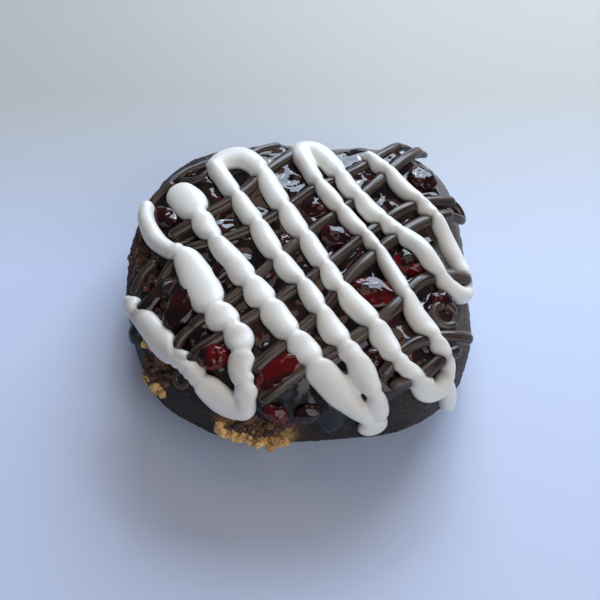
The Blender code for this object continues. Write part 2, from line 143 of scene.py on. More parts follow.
@dataclass(frozen=True)
class CocoaCrustFinish(Finish):
    """Black cocoa bread crust, baked in a tin: leathery, with flecks, grey on the right and back as
    a painted sheen, and grey along its foot.
    """

    name: str = "baked_cocoa_crust"
    dark: str = "#1d1618"
    brown: str = "#372822"
    # Grey of the painted sheen on the right and back, also laid along the foot
    sheen_and_foot_grey: str = "#7b746d"
    # Flecks of flour, and painted glints: they gather where the painted sheen is
    fleck_and_glint: str = "#a19a8e"
    torn: str = "#3d2519"
    golden: str = "#c29a5c"
    patch_size: float = 9.0
    # Real flecks of flour are finer. These are as coarse as they need to be to show
    fleck_size: float = 1.2
    leather_size: float = 1.3
    crumb_size: float = 1.6

    def paint(self, tree: bpy.types.NodeTree, shader: dict, spot: dict) -> None:
        """Adds the nodes, which read the mesh's attributes for the painted sheen and foot grey, the
        torn places and the golden crumb.

        Args:
            tree: The node tree.
            shader: Inputs of the Principled shader.
            spot: Outputs of the Texture Coordinate node.
        """
        here = {"Vector": spot["Object"]}
        patches = add_node(tree, "TexNoise", {"Scale": per_mm(self.patch_size), "Detail": 5.0,
                                              "Roughness": 0.65}, here)
        browned = add_node(tree, "MapRange", {"From Min": 0.42, "From Max": 0.70},
                           {"Value": patches.outputs["Fac"]})
        crust = add_node(tree, "Mix", {**RGBA, MIX_A: self.dark, MIX_B: self.brown},
                         {MIX_SHARE: browned.outputs[0]})
        leather = add_node(tree, "TexNoise", {"Scale": per_mm(self.leather_size), "Detail": 6.0,
                                              "Roughness": 0.72}, here)
        # Painted sheen: the crust is greyed where the window light grazes it, from the right to the
        # back, and along its foot
        sheen_and_foot = add_node(tree, "Attribute", {"attribute_name": "sheen_and_foot_grey"}, {})
        sheen_grain = add_node(tree, "Math", {"operation": "MULTIPLY"},
                          {0: leather.outputs["Fac"], 1: sheen_and_foot.outputs["Fac"]})
        greyed = add_node(tree, "MapRange", {"From Min": 0.12, "From Max": 0.62},
                          {"Value": sheen_grain.outputs[0]})
        crust = add_node(tree, "Mix", {**RGBA, MIX_B: self.sheen_and_foot_grey},
                         {MIX_SHARE: greyed.outputs[0], MIX_A: crust.outputs[MIX_RESULT]})
        # Pale flecks of flour, laid thickest with the painted sheen, where they stand for painted
        # glints of the light
        speckle = add_node(tree, "TexNoise", {"Scale": per_mm(self.fleck_size), "Detail": 3.0,
                                           "Roughness": 0.6}, here)
        flecks = add_node(tree, "MapRange", {"From Min": 0.59, "From Max": 0.72},
                          {"Value": speckle.outputs["Fac"]})
        flecks_and_glints = add_node(tree, "Math", {"operation": "MULTIPLY"},
                          {0: flecks.outputs[0], 1: sheen_and_foot.outputs["Fac"]})
        crust = add_node(tree, "Mix", {**RGBA, MIX_B: self.fleck_and_glint},
                         {MIX_SHARE: flecks_and_glints.outputs[0], MIX_A: crust.outputs[MIX_RESULT]})
        crumb = add_node(tree, "TexNoise", {"Scale": per_mm(self.crumb_size), "Detail": 4.0,
                                            "Roughness": 0.7}, here)
        amber = add_node(tree, "Attribute", {"attribute_name": "golden"}, {})
        grains = add_node(tree, "MapRange", {"From Min": 0.38, "From Max": 0.58},
                          {"Value": crumb.outputs["Fac"]})
        share = add_node(tree, "Math", {"operation": "MULTIPLY"},
                         {0: grains.outputs[0], 1: amber.outputs["Fac"]})
        inside = add_node(tree, "Mix", {**RGBA, MIX_A: self.torn, MIX_B: self.golden},
                          {MIX_SHARE: share.outputs[0]})
        tear = add_node(tree, "Attribute", {"attribute_name": "torn"}, {})
        colour = add_node(tree, "Mix", RGBA,
                          {MIX_SHARE: tear.outputs["Fac"], MIX_A: crust.outputs[MIX_RESULT],
                           MIX_B: inside.outputs[MIX_RESULT]})
        bump = add_node(tree, "Bump", {"Strength": 0.9, "Distance": 0.5 * MM},
                        {"Height": leather.outputs["Fac"]})
        rough = add_node(tree, "MapRange", {"To Min": 0.50, "To Max": 0.80},
                         {"Value": patches.outputs["Fac"]})
        tree.links.new(colour.outputs[MIX_RESULT], shader["Base Color"])
        tree.links.new(rough.outputs[0], shader["Roughness"])
        tree.links.new(bump.outputs["Normal"], shader["Normal"])
        shader["Specular IOR Level"].default_value = 0.4


@dataclass(frozen=True)
class SugarCrumbFinish(Finish):
    """Crumb of the torn dough and sugar, dry and matte, each grain of its own shade."""

    name: str = "golden_sugar_crumb"
    light: str = "#f4ca86"
    dark: str = "#ac7c44"
    grain_size: float = 0.9

    def paint(self, tree: bpy.types.NodeTree, shader: dict, spot: dict) -> None:
        """Adds the nodes, which read the mesh's tone attribute.

        Args:
            tree: The node tree.
            shader: Inputs of the Principled shader.
            spot: Outputs of the Texture Coordinate node.
        """
        tone = add_node(tree, "Attribute", {"attribute_name": "tone"}, {})
        grain = add_node(tree, "TexNoise", {"Scale": per_mm(self.grain_size), "Detail": 4.0},
                         {"Vector": spot["Object"]})
        mixed = add_node(tree, "Math", {"operation": "ADD"},
                         {0: tone.outputs["Fac"], 1: grain.outputs["Fac"]})
        share = add_node(tree, "MapRange", {"From Min": 0.5, "From Max": 1.5},
                         {"Value": mixed.outputs[0]})
        bump = add_node(tree, "Bump", {"Strength": 0.6, "Distance": 0.25 * MM},
                        {"Height": grain.outputs["Fac"]})
        colour = add_node(tree, "Mix", {**RGBA, MIX_A: self.dark, MIX_B: self.light},
                          {MIX_SHARE: share.outputs[0]})
        tree.links.new(colour.outputs[MIX_RESULT], shader["Base Color"])
        tree.links.new(bump.outputs["Normal"], shader["Normal"])
        shader["Roughness"].default_value = 0.6


@dataclass(frozen=True)
class CherryGelFinish(Finish):
    """Cherry gel, poured warm and set: mirror smooth, brown black, red where it is thin."""

    name: str = "cherry_gel"
    deep: str = "#0c0606"
    brown: str = "#33211a"
    red: str = "#4c0610"
    film: str = "#14151d"
    pool_size: float = 9.0
    stain_size: float = 6.0
    skin_size: float = 2.6

    def paint(self, tree: bpy.types.NodeTree, shader: dict, spot: dict) -> None:
        """Adds the nodes, which read the mesh's dull attribute.

        Args:
            tree: The node tree.
            shader: Inputs of the Principled shader.
            spot: Outputs of the Texture Coordinate node.
        """
        here = {"Vector": spot["Object"]}
        dull = add_node(tree, "Attribute", {"attribute_name": "dull"}, {})
        pools = add_node(tree, "TexNoise", {"Scale": per_mm(self.pool_size), "Detail": 2.0}, here)
        share = add_node(tree, "MapRange", {"From Min": 0.42, "From Max": 0.62},
                         {"Value": pools.outputs["Fac"]})
        colour = add_node(tree, "Mix", {**RGBA, MIX_A: self.deep, MIX_B: self.brown},
                          {MIX_SHARE: share.outputs[0]})
        stains = add_node(tree, "TexNoise", {"Scale": per_mm(self.stain_size), "Detail": 2.0,
                                             "Distortion": 0.8}, here)
        reddened = add_node(tree, "MapRange", {"From Min": 0.60, "From Max": 0.66},
                            {"Value": stains.outputs["Fac"]})
        colour = add_node(tree, "Mix", {**RGBA, MIX_B: self.red},
                          {MIX_SHARE: reddened.outputs[0], MIX_A: colour.outputs[MIX_RESULT]})
        colour = add_node(tree, "Mix", {**RGBA, MIX_B: self.film},
                          {MIX_SHARE: dull.outputs["Fac"], MIX_A: colour.outputs[MIX_RESULT]})
        rough = add_node(tree, "MapRange", {"To Min": 0.05, "To Max": 0.36},
                         {"Value": dull.outputs["Fac"]})
        skin = add_node(tree, "TexNoise", {"Scale": per_mm(self.skin_size), "Detail": 1.0}, here)
        bump = add_node(tree, "Bump", {"Strength": 0.3, "Distance": 0.5 * MM},
                        {"Height": skin.outputs["Fac"]})
        tree.links.new(colour.outputs[MIX_RESULT], shader["Base Color"])
        tree.links.new(rough.outputs[0], shader["Roughness"])
        tree.links.new(bump.outputs["Normal"], shader["Normal"])
        shader["IOR"].default_value = 1.5


@dataclass(frozen=True)
class CherrySkinFinish(Finish):
    """Sour cherries, stoned and cooked: wet, clear red flesh under dark wrinkled skin."""

    name: str = "wet_sour_cherry"
    flesh: str = "#5c0308"
    steeped: str = "#33050a"
    skin: str = "#150304"
    blush_size: float = 7.0
    wrinkle_size: float = 2.6

    def paint(self, tree: bpy.types.NodeTree, shader: dict, spot: dict) -> None:
        """Adds the nodes, which read the mesh's ripe attribute.

        Args:
            tree: The node tree.
            shader: Inputs of the Principled shader.
            spot: Outputs of the Texture Coordinate node.
        """
        here = {"Vector": spot["Object"]}
        ripe = add_node(tree, "Attribute", {"attribute_name": "ripe"}, {})
        flesh = add_node(tree, "Mix", {**RGBA, MIX_A: self.steeped, MIX_B: self.flesh},
                         {MIX_SHARE: ripe.outputs["Fac"]})
        blush = add_node(tree, "TexNoise", {"Scale": per_mm(self.blush_size), "Detail": 3.0,
                                            "Distortion": 0.6}, here)
        share = add_node(tree, "MapRange", {"From Min": 0.40, "From Max": 0.58},
                         {"Value": blush.outputs["Fac"]})
        wrinkle = add_node(tree, "TexNoise", {"Scale": per_mm(self.wrinkle_size), "Detail": 2.0},
                           here)
        bump = add_node(tree, "Bump", {"Strength": 0.12, "Distance": 0.4 * MM},
                        {"Height": wrinkle.outputs["Fac"]})
        colour = add_node(tree, "Mix", {**RGBA, MIX_A: self.skin},
                          {MIX_SHARE: share.outputs[0], MIX_B: flesh.outputs[MIX_RESULT]})
        tree.links.new(colour.outputs[MIX_RESULT], shader["Base Color"])
        tree.links.new(bump.outputs["Normal"], shader["Normal"])
        shader["Roughness"].default_value = 0.08
        shader["IOR"].default_value = 1.5


@dataclass(frozen=True)
class DarkChocolateFinish(Finish):
    """Dark chocolate, piped and set: satin, with the fine lengthwise streaks of the nozzle, their
    lighter colour a painted highlight.
    """

    name: str = "piped_dark_chocolate"
    body: str = "#2b1e18"
    # Painted highlight: the lighter brown grey of the streaks
    highlight_streak: str = "#64564c"
    # Real streaks are finer. These are as coarse as they need to be to show
    streak_width: float = 0.9
    streak_length: float = 22.0

    def paint(self, tree: bpy.types.NodeTree, shader: dict, spot: dict) -> None:
        """Adds the nodes, on a UV map that runs along and round each strand in mm.

        Args:
            tree: The node tree.
            shader: Inputs of the Principled shader.
            spot: Outputs of the Texture Coordinate node.
        """
        along = (1.0 / self.streak_length, 1.0 / self.streak_width, 1.0)
        laid = add_node(tree, "Mapping", {"Scale": along}, {"Vector": spot["UV"]})
        streaks = add_node(tree, "TexNoise", {"Scale": 1.0, "Detail": 3.0, "Roughness": 0.6},
                           {"Vector": laid.outputs["Vector"]})
        share = add_node(tree, "MapRange", {"From Min": 0.42, "From Max": 0.68},
                         {"Value": streaks.outputs["Fac"]})
        rough = add_node(tree, "MapRange", {"To Min": 0.20, "To Max": 0.38},
                         {"Value": streaks.outputs["Fac"]})
        bump = add_node(tree, "Bump", {"Strength": 0.5, "Distance": 0.2 * MM},
                        {"Height": streaks.outputs["Fac"]})
        # Painted highlight, laid in streaks along each strand
        colour = add_node(tree, "Mix", {**RGBA, MIX_A: self.body, MIX_B: self.highlight_streak},
                          {MIX_SHARE: share.outputs[0]})
        tree.links.new(colour.outputs[MIX_RESULT], shader["Base Color"])
        tree.links.new(rough.outputs[0], shader["Roughness"])
        tree.links.new(bump.outputs["Normal"], shader["Normal"])
        shader["IOR"].default_value = 1.5


@dataclass(frozen=True)
class SugarIcingFinish(Finish):
    """Sugar icing, piped wet and set: smooth, softly glossy, with painted shade in grey where it
    meets the gel and strands.
    """

    name: str = "set_sugar_icing"
    sugar: str = "#edebe3"
    contact_shade: str = "#776e65"
    ripple_size: float = 3.0

    def paint(self, tree: bpy.types.NodeTree, shader: dict, spot: dict) -> None:
        """Adds the nodes, which read the mesh's thin attribute, the share of painted shade where
        the icing lies close to what is under it.

        Args:
            tree: The node tree.
            shader: Inputs of the Principled shader.
            spot: Outputs of the Texture Coordinate node.
        """
        thin = add_node(tree, "Attribute", {"attribute_name": "thin"}, {})
        ripple = add_node(tree, "TexNoise", {"Scale": per_mm(self.ripple_size), "Detail": 2.0},
                          {"Vector": spot["Object"]})
        bump = add_node(tree, "Bump", {"Strength": 0.10, "Distance": 0.5 * MM},
                        {"Height": ripple.outputs["Fac"]})
        # Painted shade: grey where the icing lies close to the gel and strands under it
        colour = add_node(tree, "Mix", {**RGBA, MIX_A: self.sugar, MIX_B: self.contact_shade},
                          {MIX_SHARE: thin.outputs["Fac"]})
        tree.links.new(colour.outputs[MIX_RESULT], shader["Base Color"])
        tree.links.new(bump.outputs["Normal"], shader["Normal"])
        shader["Roughness"].default_value = 0.42
        shader["Coat Weight"].default_value = 0.15
        shader["Coat Roughness"].default_value = 0.22
        shader["Subsurface Weight"].default_value = 0.10
        shader["Subsurface Radius"].default_value = (1.0, 0.9, 0.75)
        shader["Subsurface Scale"].default_value = 0.9 * MM


@dataclass(frozen=True)
class TableFinish(Finish):
    """A table top, pale and cool, greyer and a little darker towards the back, with a soft sheen.
    """

    name: str = "pale_table"
    near_colour: str = "#ccdaf4"
    far_colour: str = "#bcbeb8"
    # Real brush marks are finer. These are as coarse as they need to be to show
    grain_size: float = 0.6
    # Where the grey begins and where it is full, in metres to the back
    far_from: float = 0.02
    far_to: float = 0.11

    def paint(self, tree: bpy.types.NodeTree, shader: dict, spot: dict) -> None:
        """Adds the nodes.

        Args:
            tree: The node tree.
            shader: Inputs of the Principled shader.
            spot: Outputs of the Texture Coordinate node.
        """
        parts = add_node(tree, "SeparateXYZ", {}, {"Vector": spot["Object"]})
        far = add_node(tree, "MapRange", {"From Min": self.far_from, "From Max": self.far_to},
                       {"Value": parts.outputs["Y"]})
        grain = add_node(tree, "TexNoise", {"Scale": per_mm(self.grain_size), "Detail": 2.0},
                         {"Vector": spot["Object"]})
        bump = add_node(tree, "Bump", {"Strength": 0.05, "Distance": 0.1 * MM},
                        {"Height": grain.outputs["Fac"]})
        # Greyer and a little darker towards the back
        colour = add_node(tree, "Mix", {**RGBA, MIX_A: self.near_colour, MIX_B: self.far_colour},
                          {MIX_SHARE: far.outputs[0]})
        tree.links.new(colour.outputs[MIX_RESULT], shader["Base Color"])
        tree.links.new(bump.outputs["Normal"], shader["Normal"])
        shader["Roughness"].default_value = 0.5


def turned(angle: np.ndarray, aim: float) -> np.ndarray:
    """Gives how far directions are turned from an aim, from minus pi to pi."""
    return (angle - aim + math.pi) % (2 * math.pi) - math.pi


def patch_share(u: float, v: float, patch: tuple) -> float:
    """Says how far a spot lies in a patch, given as u, v, half size across and half size down."""
    at_u, at_v, half_u, half_v = patch
    return math.exp(-(((u - at_u) / half_u) ** 4) - ((v - at_v) / half_v) ** 4)


@dataclass
class Dough:
    """The form of the dough roll, on which everything else is laid."""

    half_width: float = 55.5
    half_depth: float = 57.0
    squareness: float = 3.0
    crown_height: float = 40.0
    waist_height: float = 15.0
    shoulder_power: float = 3.5
    foot_power: float = 3.2
    base_sink: float = 1.0
    skew: float = 2.4
    skew_angle: float = math.radians(166)
    tail_angle: float = math.radians(48)
    tail_spread: float = 0.32
    tail_reach: float = 4.8
    mean_radius: float = 54.0
    waves: tuple = ((3, 0.5, 0.3), (5, -0.9, 1.3))
    dent_depth: float = 0.7
    dent_size: float = 17.0
    relief_from: float = 48.0
    relief_to: float = 96.0
    creases: tuple = ((28.5, 1.3, 2.4), (7.0, 1.2, 2.2))
    crumb_grain: float = 4.0
    crumb_mean: float = 0.6
    crumb_swing: float = 0.8
    clumps: tuple = (
        (-19, -65, 12, 7, 3.6, Crumb.GOLDEN),
        (-8, -68, 8, 6, 3.2, Crumb.GOLDEN),
        (-54, -45, 5, 5, 2.4, Crumb.GOLDEN),
        (-45, -25, 5, 13, 0.8, Crumb.DARK),
    )
    profile_stops: int = 600
    side: dict = field(init=False)

    def __post_init__(self) -> None:
        """Works out the side profile, from the middle of the top to the middle of the base."""
        around = np.linspace(math.pi / 2, -math.pi / 2, self.profile_stops)
        across, up = np.abs(np.cos(around)), np.sin(around)
        power = np.where(up >= 0, self.shoulder_power, self.foot_power)
        above, below = self.crown_height - self.waist_height, self.waist_height + self.base_sink
        reach = np.where(up >= 0, above, below)
        radius = self.mean_radius * across ** (2 / power)
        height = self.waist_height + reach * np.sign(up) * np.abs(up) ** (2 / power)
        height = np.maximum(height, 0.0)
        arc = np.concatenate([[0.0], np.cumsum(np.hypot(np.diff(radius), np.diff(height)))])
        slope_r, slope_z = np.gradient(radius, arc), np.gradient(height, arc)
        length = np.hypot(slope_r, slope_z)
        self.side = {"arc": arc, "radius": radius, "height": height}
        self.side |= {"out_r": -slope_z / length, "out_z": slope_r / length}

    def outline(self, angle: np.ndarray) -> np.ndarray:
        """Gives the radius of the waist: a rounded square, skewed, with the roll's tail.

        Args:
            angle: Directions from the middle, in radians.

        Returns:
            The radius in each direction.
        """
        square = np.abs(np.cos(angle) / self.half_width) ** self.squareness
        square = square + np.abs(np.sin(angle) / self.half_depth) ** self.squareness
        turn = turned(angle, self.tail_angle) / self.tail_spread
        tail = self.tail_reach * np.exp(-(turn**2))
        skew = self.skew * np.cos(2 * (angle - self.skew_angle))
        waves = sum(high * np.sin(count * angle + start) for count, high, start in self.waves)
        return square ** (-1 / self.squareness) + tail + skew + waves

    def read(self, what: str, arc: np.ndarray) -> np.ndarray:
        """Reads one column of the side profile at an arc length."""
        return np.interp(arc, self.side["arc"], self.side[what])

    def arc_at(self, u: np.ndarray, v: np.ndarray) -> np.ndarray:
        """Gives how far down the side profile a spot lies."""
        return np.hypot(u, v) / (self.outline(np.arctan2(v, u)) / self.mean_radius)

    def place(self, u: np.ndarray, v: np.ndarray, rise: np.ndarray) -> tuple:
        """Lays spots on the bun.

        Args:
            u: How far each spot lies to the right.
            v: How far it lies to the back.
            rise: How far it stands off the plain dough.

        Returns:
            The points in metres, and the way out at each.
        """
        u, v, rise = np.broadcast_arrays(*(np.asarray(x, dtype=float) for x in (u, v, rise)))
        angle = np.arctan2(v, u)
        scale = self.outline(angle) / self.mean_radius
        arc = self.arc_at(u, v)
        out_r, out_z = self.read("out_r", arc), self.read("out_z", arc)
        radius = self.read("radius", arc) * scale + rise * out_r
        height = self.read("height", arc) + rise * out_z
        points = np.stack([radius * np.cos(angle), radius * np.sin(angle), height], axis=-1)
        out = np.stack([out_r * np.cos(angle), out_r * np.sin(angle), out_z], axis=-1)
        return points * MM, out / np.linalg.norm(out, axis=-1, keepdims=True)

    def torn(self, u: float, v: float, kinds: tuple = tuple(Crumb)) -> float:
        """Says how far a spot lies in a torn place.

        Args:
            u: To the right.
            v: To the back.
            kinds: The kinds of crumb to look for.

        Returns:
            From 0 outside to 1 well inside.
        """
        return max(patch_share(u, v, patch) for *patch, _, kind in self.clumps if kind in kinds)

    def relief(self, u: float, v: float, arc: float) -> float:
        """Says how far the dough stands out from its plain form.

        Args:
            u: To the right.
            v: To the back.
            arc: How far down the side profile the spot lies.

        Returns:
            The rise, in creases, dents and torn crumb.
        """
        if not self.relief_from < arc < self.relief_to:
            return 0.0
        height = float(self.read("height", arc))
        spot = Vector((u, v, height))
        rise = self.dent_depth * noise.noise(spot / self.dent_size)
        for level, depth, half in self.creases:
            rise -= depth * math.exp(-(((height - level) / half) ** 2))
        grain = self.crumb_mean + self.crumb_swing * noise.noise(spot / self.crumb_grain)
        for *patch, lump, _ in self.clumps:
            rise += patch_share(u, v, patch) * lump * grain
        return rise


def new_piece(name: str, bm: bmesh.types.BMesh, finish: bpy.types.Material) -> bpy.types.Object:
    """Makes an object of a finished bmesh.

    Args:
        name: The object's name.
        bm: The bmesh, which is freed.
        finish: Its material.

    Returns:
        The object, smooth shaded.
    """
    mesh = bpy.data.meshes.new(name)
    bm.to_mesh(mesh)
    bm.free()
    mesh.shade_smooth()
    mesh.materials.append(finish)
    made = bpy.data.objects.new(name, mesh)
    bpy.context.scene.collection.objects.link(made)
    return made


def unit_ball(columns: int, rows: int) -> tuple[bmesh.types.BMesh, np.ndarray]:
    """Makes a ball of radius one, to be laid on the bun.

    Args:
        columns: How many faces it has round its waist.
        rows: How many it has from pole to pole.

    Returns:
        Its bmesh, and its points.
    """
    bm = bmesh.new()
    bmesh.ops.create_uvsphere(bm, u_segments=columns, v_segments=rows, radius=1.0)
    return bm, np.array([vert.co for vert in bm.verts])


def move_points(bm: bmesh.types.BMesh, points: np.ndarray) -> None:
    """Moves each point of a bmesh to its new place."""
    for vert, point in zip(bm.verts, points):
        vert.co = point


def ease(piece: bpy.types.Object, rounds: int) -> None:
    """Smooths a piece, and applies that and its other modifiers to its mesh.

    Args:
        piece: The piece.
        rounds: How many times each point moves half way to the middle of its neighbours.
    """
    smooth = piece.modifiers.new("Ease", "SMOOTH")
    smooth.factor = 0.5
    smooth.iterations = rounds
    graph = bpy.context.evaluated_depsgraph_get()
    done = bpy.data.meshes.new_from_object(piece.evaluated_get(graph))
    piece.modifiers.clear()
    piece.data = done
    done.shade_smooth()


def set_attribute(piece: bpy.types.Object, name: str, values: np.ndarray) -> None:
    """Stores one number at each point of a piece's mesh, for its material to read."""
    store = piece.data.attributes.new(name, "FLOAT", "POINT")
    store.data.foreach_set("value", np.asarray(values, dtype=np.float32))


def soften(values: np.ndarray, times: int) -> np.ndarray:
    """Averages each value with its neighbours, again and again, but keeps both ends.

    Args:
        values: The values.
        times: How often.

    Returns:
        The softened values.
    """
    soft = values.copy()
    for _ in range(times):
        soft[1:-1] = (soft[:-2] + 2 * soft[1:-1] + soft[2:]) / 4
    return soft


def wobble(values: np.ndarray, kind: tuple, number: int) -> np.ndarray:
    """Gives smooth noise along a line of numbers.

    Args:
        values: The numbers.
        kind: The height and the length of the waves, and the step and the start of their seed.
        number: Which line it is, so that each has waves of its own.

    Returns:
        The noise at each number.
    """
    height, size, step, start = kind
    seed = number * step + start
    return height * np.array([noise.noise(Vector((each / size, seed, 0.0))) for each in values])


@dataclass
class Line:
    """A line piped over the bun, as spots (u, v), or (u, v, half width)."""

    spots: np.ndarray
    end_steps: int = 9
    corner_rounds: int = 6
    fewest: int = 8
    longest_cap: float = 0.45

    @classmethod
    def through(cls, spots: tuple, step: float = 1.5) -> "Line":
        """Makes a smooth line that passes through named spots.

        Args:
            spots: The spots.
            step: About how far apart the line's own spots are.

        Returns:
            The line.
        """
        flat = len(spots[0]) == 2
        named = [Vector((*spot, 0.0) if flat else spot) for spot in spots]
        named = [2 * named[0] - named[1], *named, 2 * named[-1] - named[-2]]
        named[0].z, named[-1].z = named[1].z, named[-2].z
        found = []
        for before, start, end, after in zip(named, named[1:], named[2:], named[3:]):
            count = max(2, round((end - start).length / step))
            out, back = start + (end - before) / 6, end - (after - start) / 6
            found += interpolate_bezier(start, out, back, end, count + 1)[:-1]
        return cls(np.array([*found, named[-2]]))

    def stations(self, step: float, cap: float) -> tuple:
        """Divides the line evenly, with rounded ends.

        Args:
            step: About how far apart the stations are.
            cap: How long each rounded end is.

        Returns:
            The spots, how far along each is, and its share of the full girth.
        """
        gone = self.gone(self.spots)
        evenly = np.linspace(0.0, gone[-1], max(self.fewest, round(gone[-1] / step)))
        curve = soften(self.read(self.spots, gone, evenly), self.corner_rounds)
        gone = self.gone(curve)
        length = gone[-1]
        cap = min(cap, self.longest_cap * length)
        tip = cap * (1 - np.cos(np.linspace(0.0, math.pi / 2, self.end_steps)))
        count = max(2, round((length - 2 * cap) / step)) + 1
        body = np.linspace(cap, length - cap, count)[1:-1]
        stops = np.concatenate([tip, body, (length - tip)[::-1]])
        inside = np.clip(np.minimum(stops, length - stops) / cap, 0.0, 1.0)
        return self.read(curve, gone, stops), stops, np.sqrt(1.0 - (1.0 - inside) ** 2)

    @staticmethod
    def gone(spots: np.ndarray) -> np.ndarray:
        """Measures how far along a line each of its spots is."""
        steps = np.linalg.norm(np.diff(spots[:, :2], axis=0), axis=1)
        return np.concatenate([[0.0], np.cumsum(steps)])

    @staticmethod
    def read(spots: np.ndarray, gone: np.ndarray, stops: np.ndarray) -> np.ndarray:
        """Reads a line's spots at given distances along it."""
        return np.stack([np.interp(stops, gone, column) for column in spots.T], axis=1)


def distance_to(spots: np.ndarray, lines: list[Line]) -> np.ndarray:
    """Measures how far spots are from the nearest of some lines.

    Args:
        spots: Spots (u, v), one row each.
        lines: The lines.

    Returns:
        The distance of each spot.
    """
    best = np.full(len(spots), np.inf)
    for line in lines:
        course = line.spots[:, :2]
        for a, b in zip(course, course[1:]):
            way = b - a
            part = np.clip((spots - a) @ way / (way @ way), 0.0, 1.0)
            apart = spots - a - part[:, None] * way
            best = np.minimum(best, np.einsum("ij,ij->i", apart, apart))
    return np.sqrt(best)


@dataclass
class Tubes:
    """Closed tubes laid over the bun, all in one bmesh."""

    dough: Dough
    bm: bmesh.types.BMesh = field(default_factory=bmesh.new)

    def add(self, spots: np.ndarray, rise: np.ndarray, wide: np.ndarray, high: np.ndarray,
            stops: np.ndarray, girth: float) -> None:
        """Adds a tube: a grid rolled up, whose first and last ring are drawn to a point.

        Args:
            spots: Spots (u, v) of its middle line, one row for each ring.
            rise: How far the middle of each ring stands off the plain dough.
            wide: How far each point lies to the side, as [ring, place round the ring].
            high: How far each point lies outward, in the same way.
            stops: How far along the tube each ring is, for the UV map.
            girth: How far it is round the tube, for the UV map.
        """
        middle, out = self.dough.place(spots[:, 0], spots[:, 1], rise)
        along = np.gradient(middle, axis=0)
        along /= np.linalg.norm(along, axis=1, keepdims=True)
        side = np.cross(along, out)
        side /= np.linalg.norm(side, axis=1, keepdims=True)
        upward = np.cross(side, along)
        spread = side[:, None, :] * wide[..., None] + upward[:, None, :] * high[..., None]
        rings = middle[:, None, :] + spread * MM
        count, sides = wide.shape
        made = bmesh.ops.create_grid(self.bm, x_segments=count - 1, y_segments=sides, size=0.5)
        verts = made["verts"]
        layer = self.bm.loops.layers.uv.verify()
        at = {}
        for vert in verts:
            i = round((vert.co.x + 0.5) * (count - 1))
            k = round((vert.co.y + 0.5) * sides)
            at[vert] = (i, k)
            vert.co = rings[i, k % sides]
        for face in {face for vert in verts for face in vert.link_faces}:
            for loop in face.loops:
                i, k = at[loop.vert]
                loop[layer].uv = (stops[i], girth * k / sides)
        bmesh.ops.remove_doubles(self.bm, verts=verts, dist=1e-7)

    def piece(self, name: str, finish: bpy.types.Material) -> bpy.types.Object:
        """Makes the piece of all tubes.

        Args:
            name: Its name.
            finish: Its material.

        Returns:
            The piece, with its faces outward.
        """
        bmesh.ops.recalc_face_normals(self.bm, faces=self.bm.faces)
        return new_piece(name, self.bm, finish)


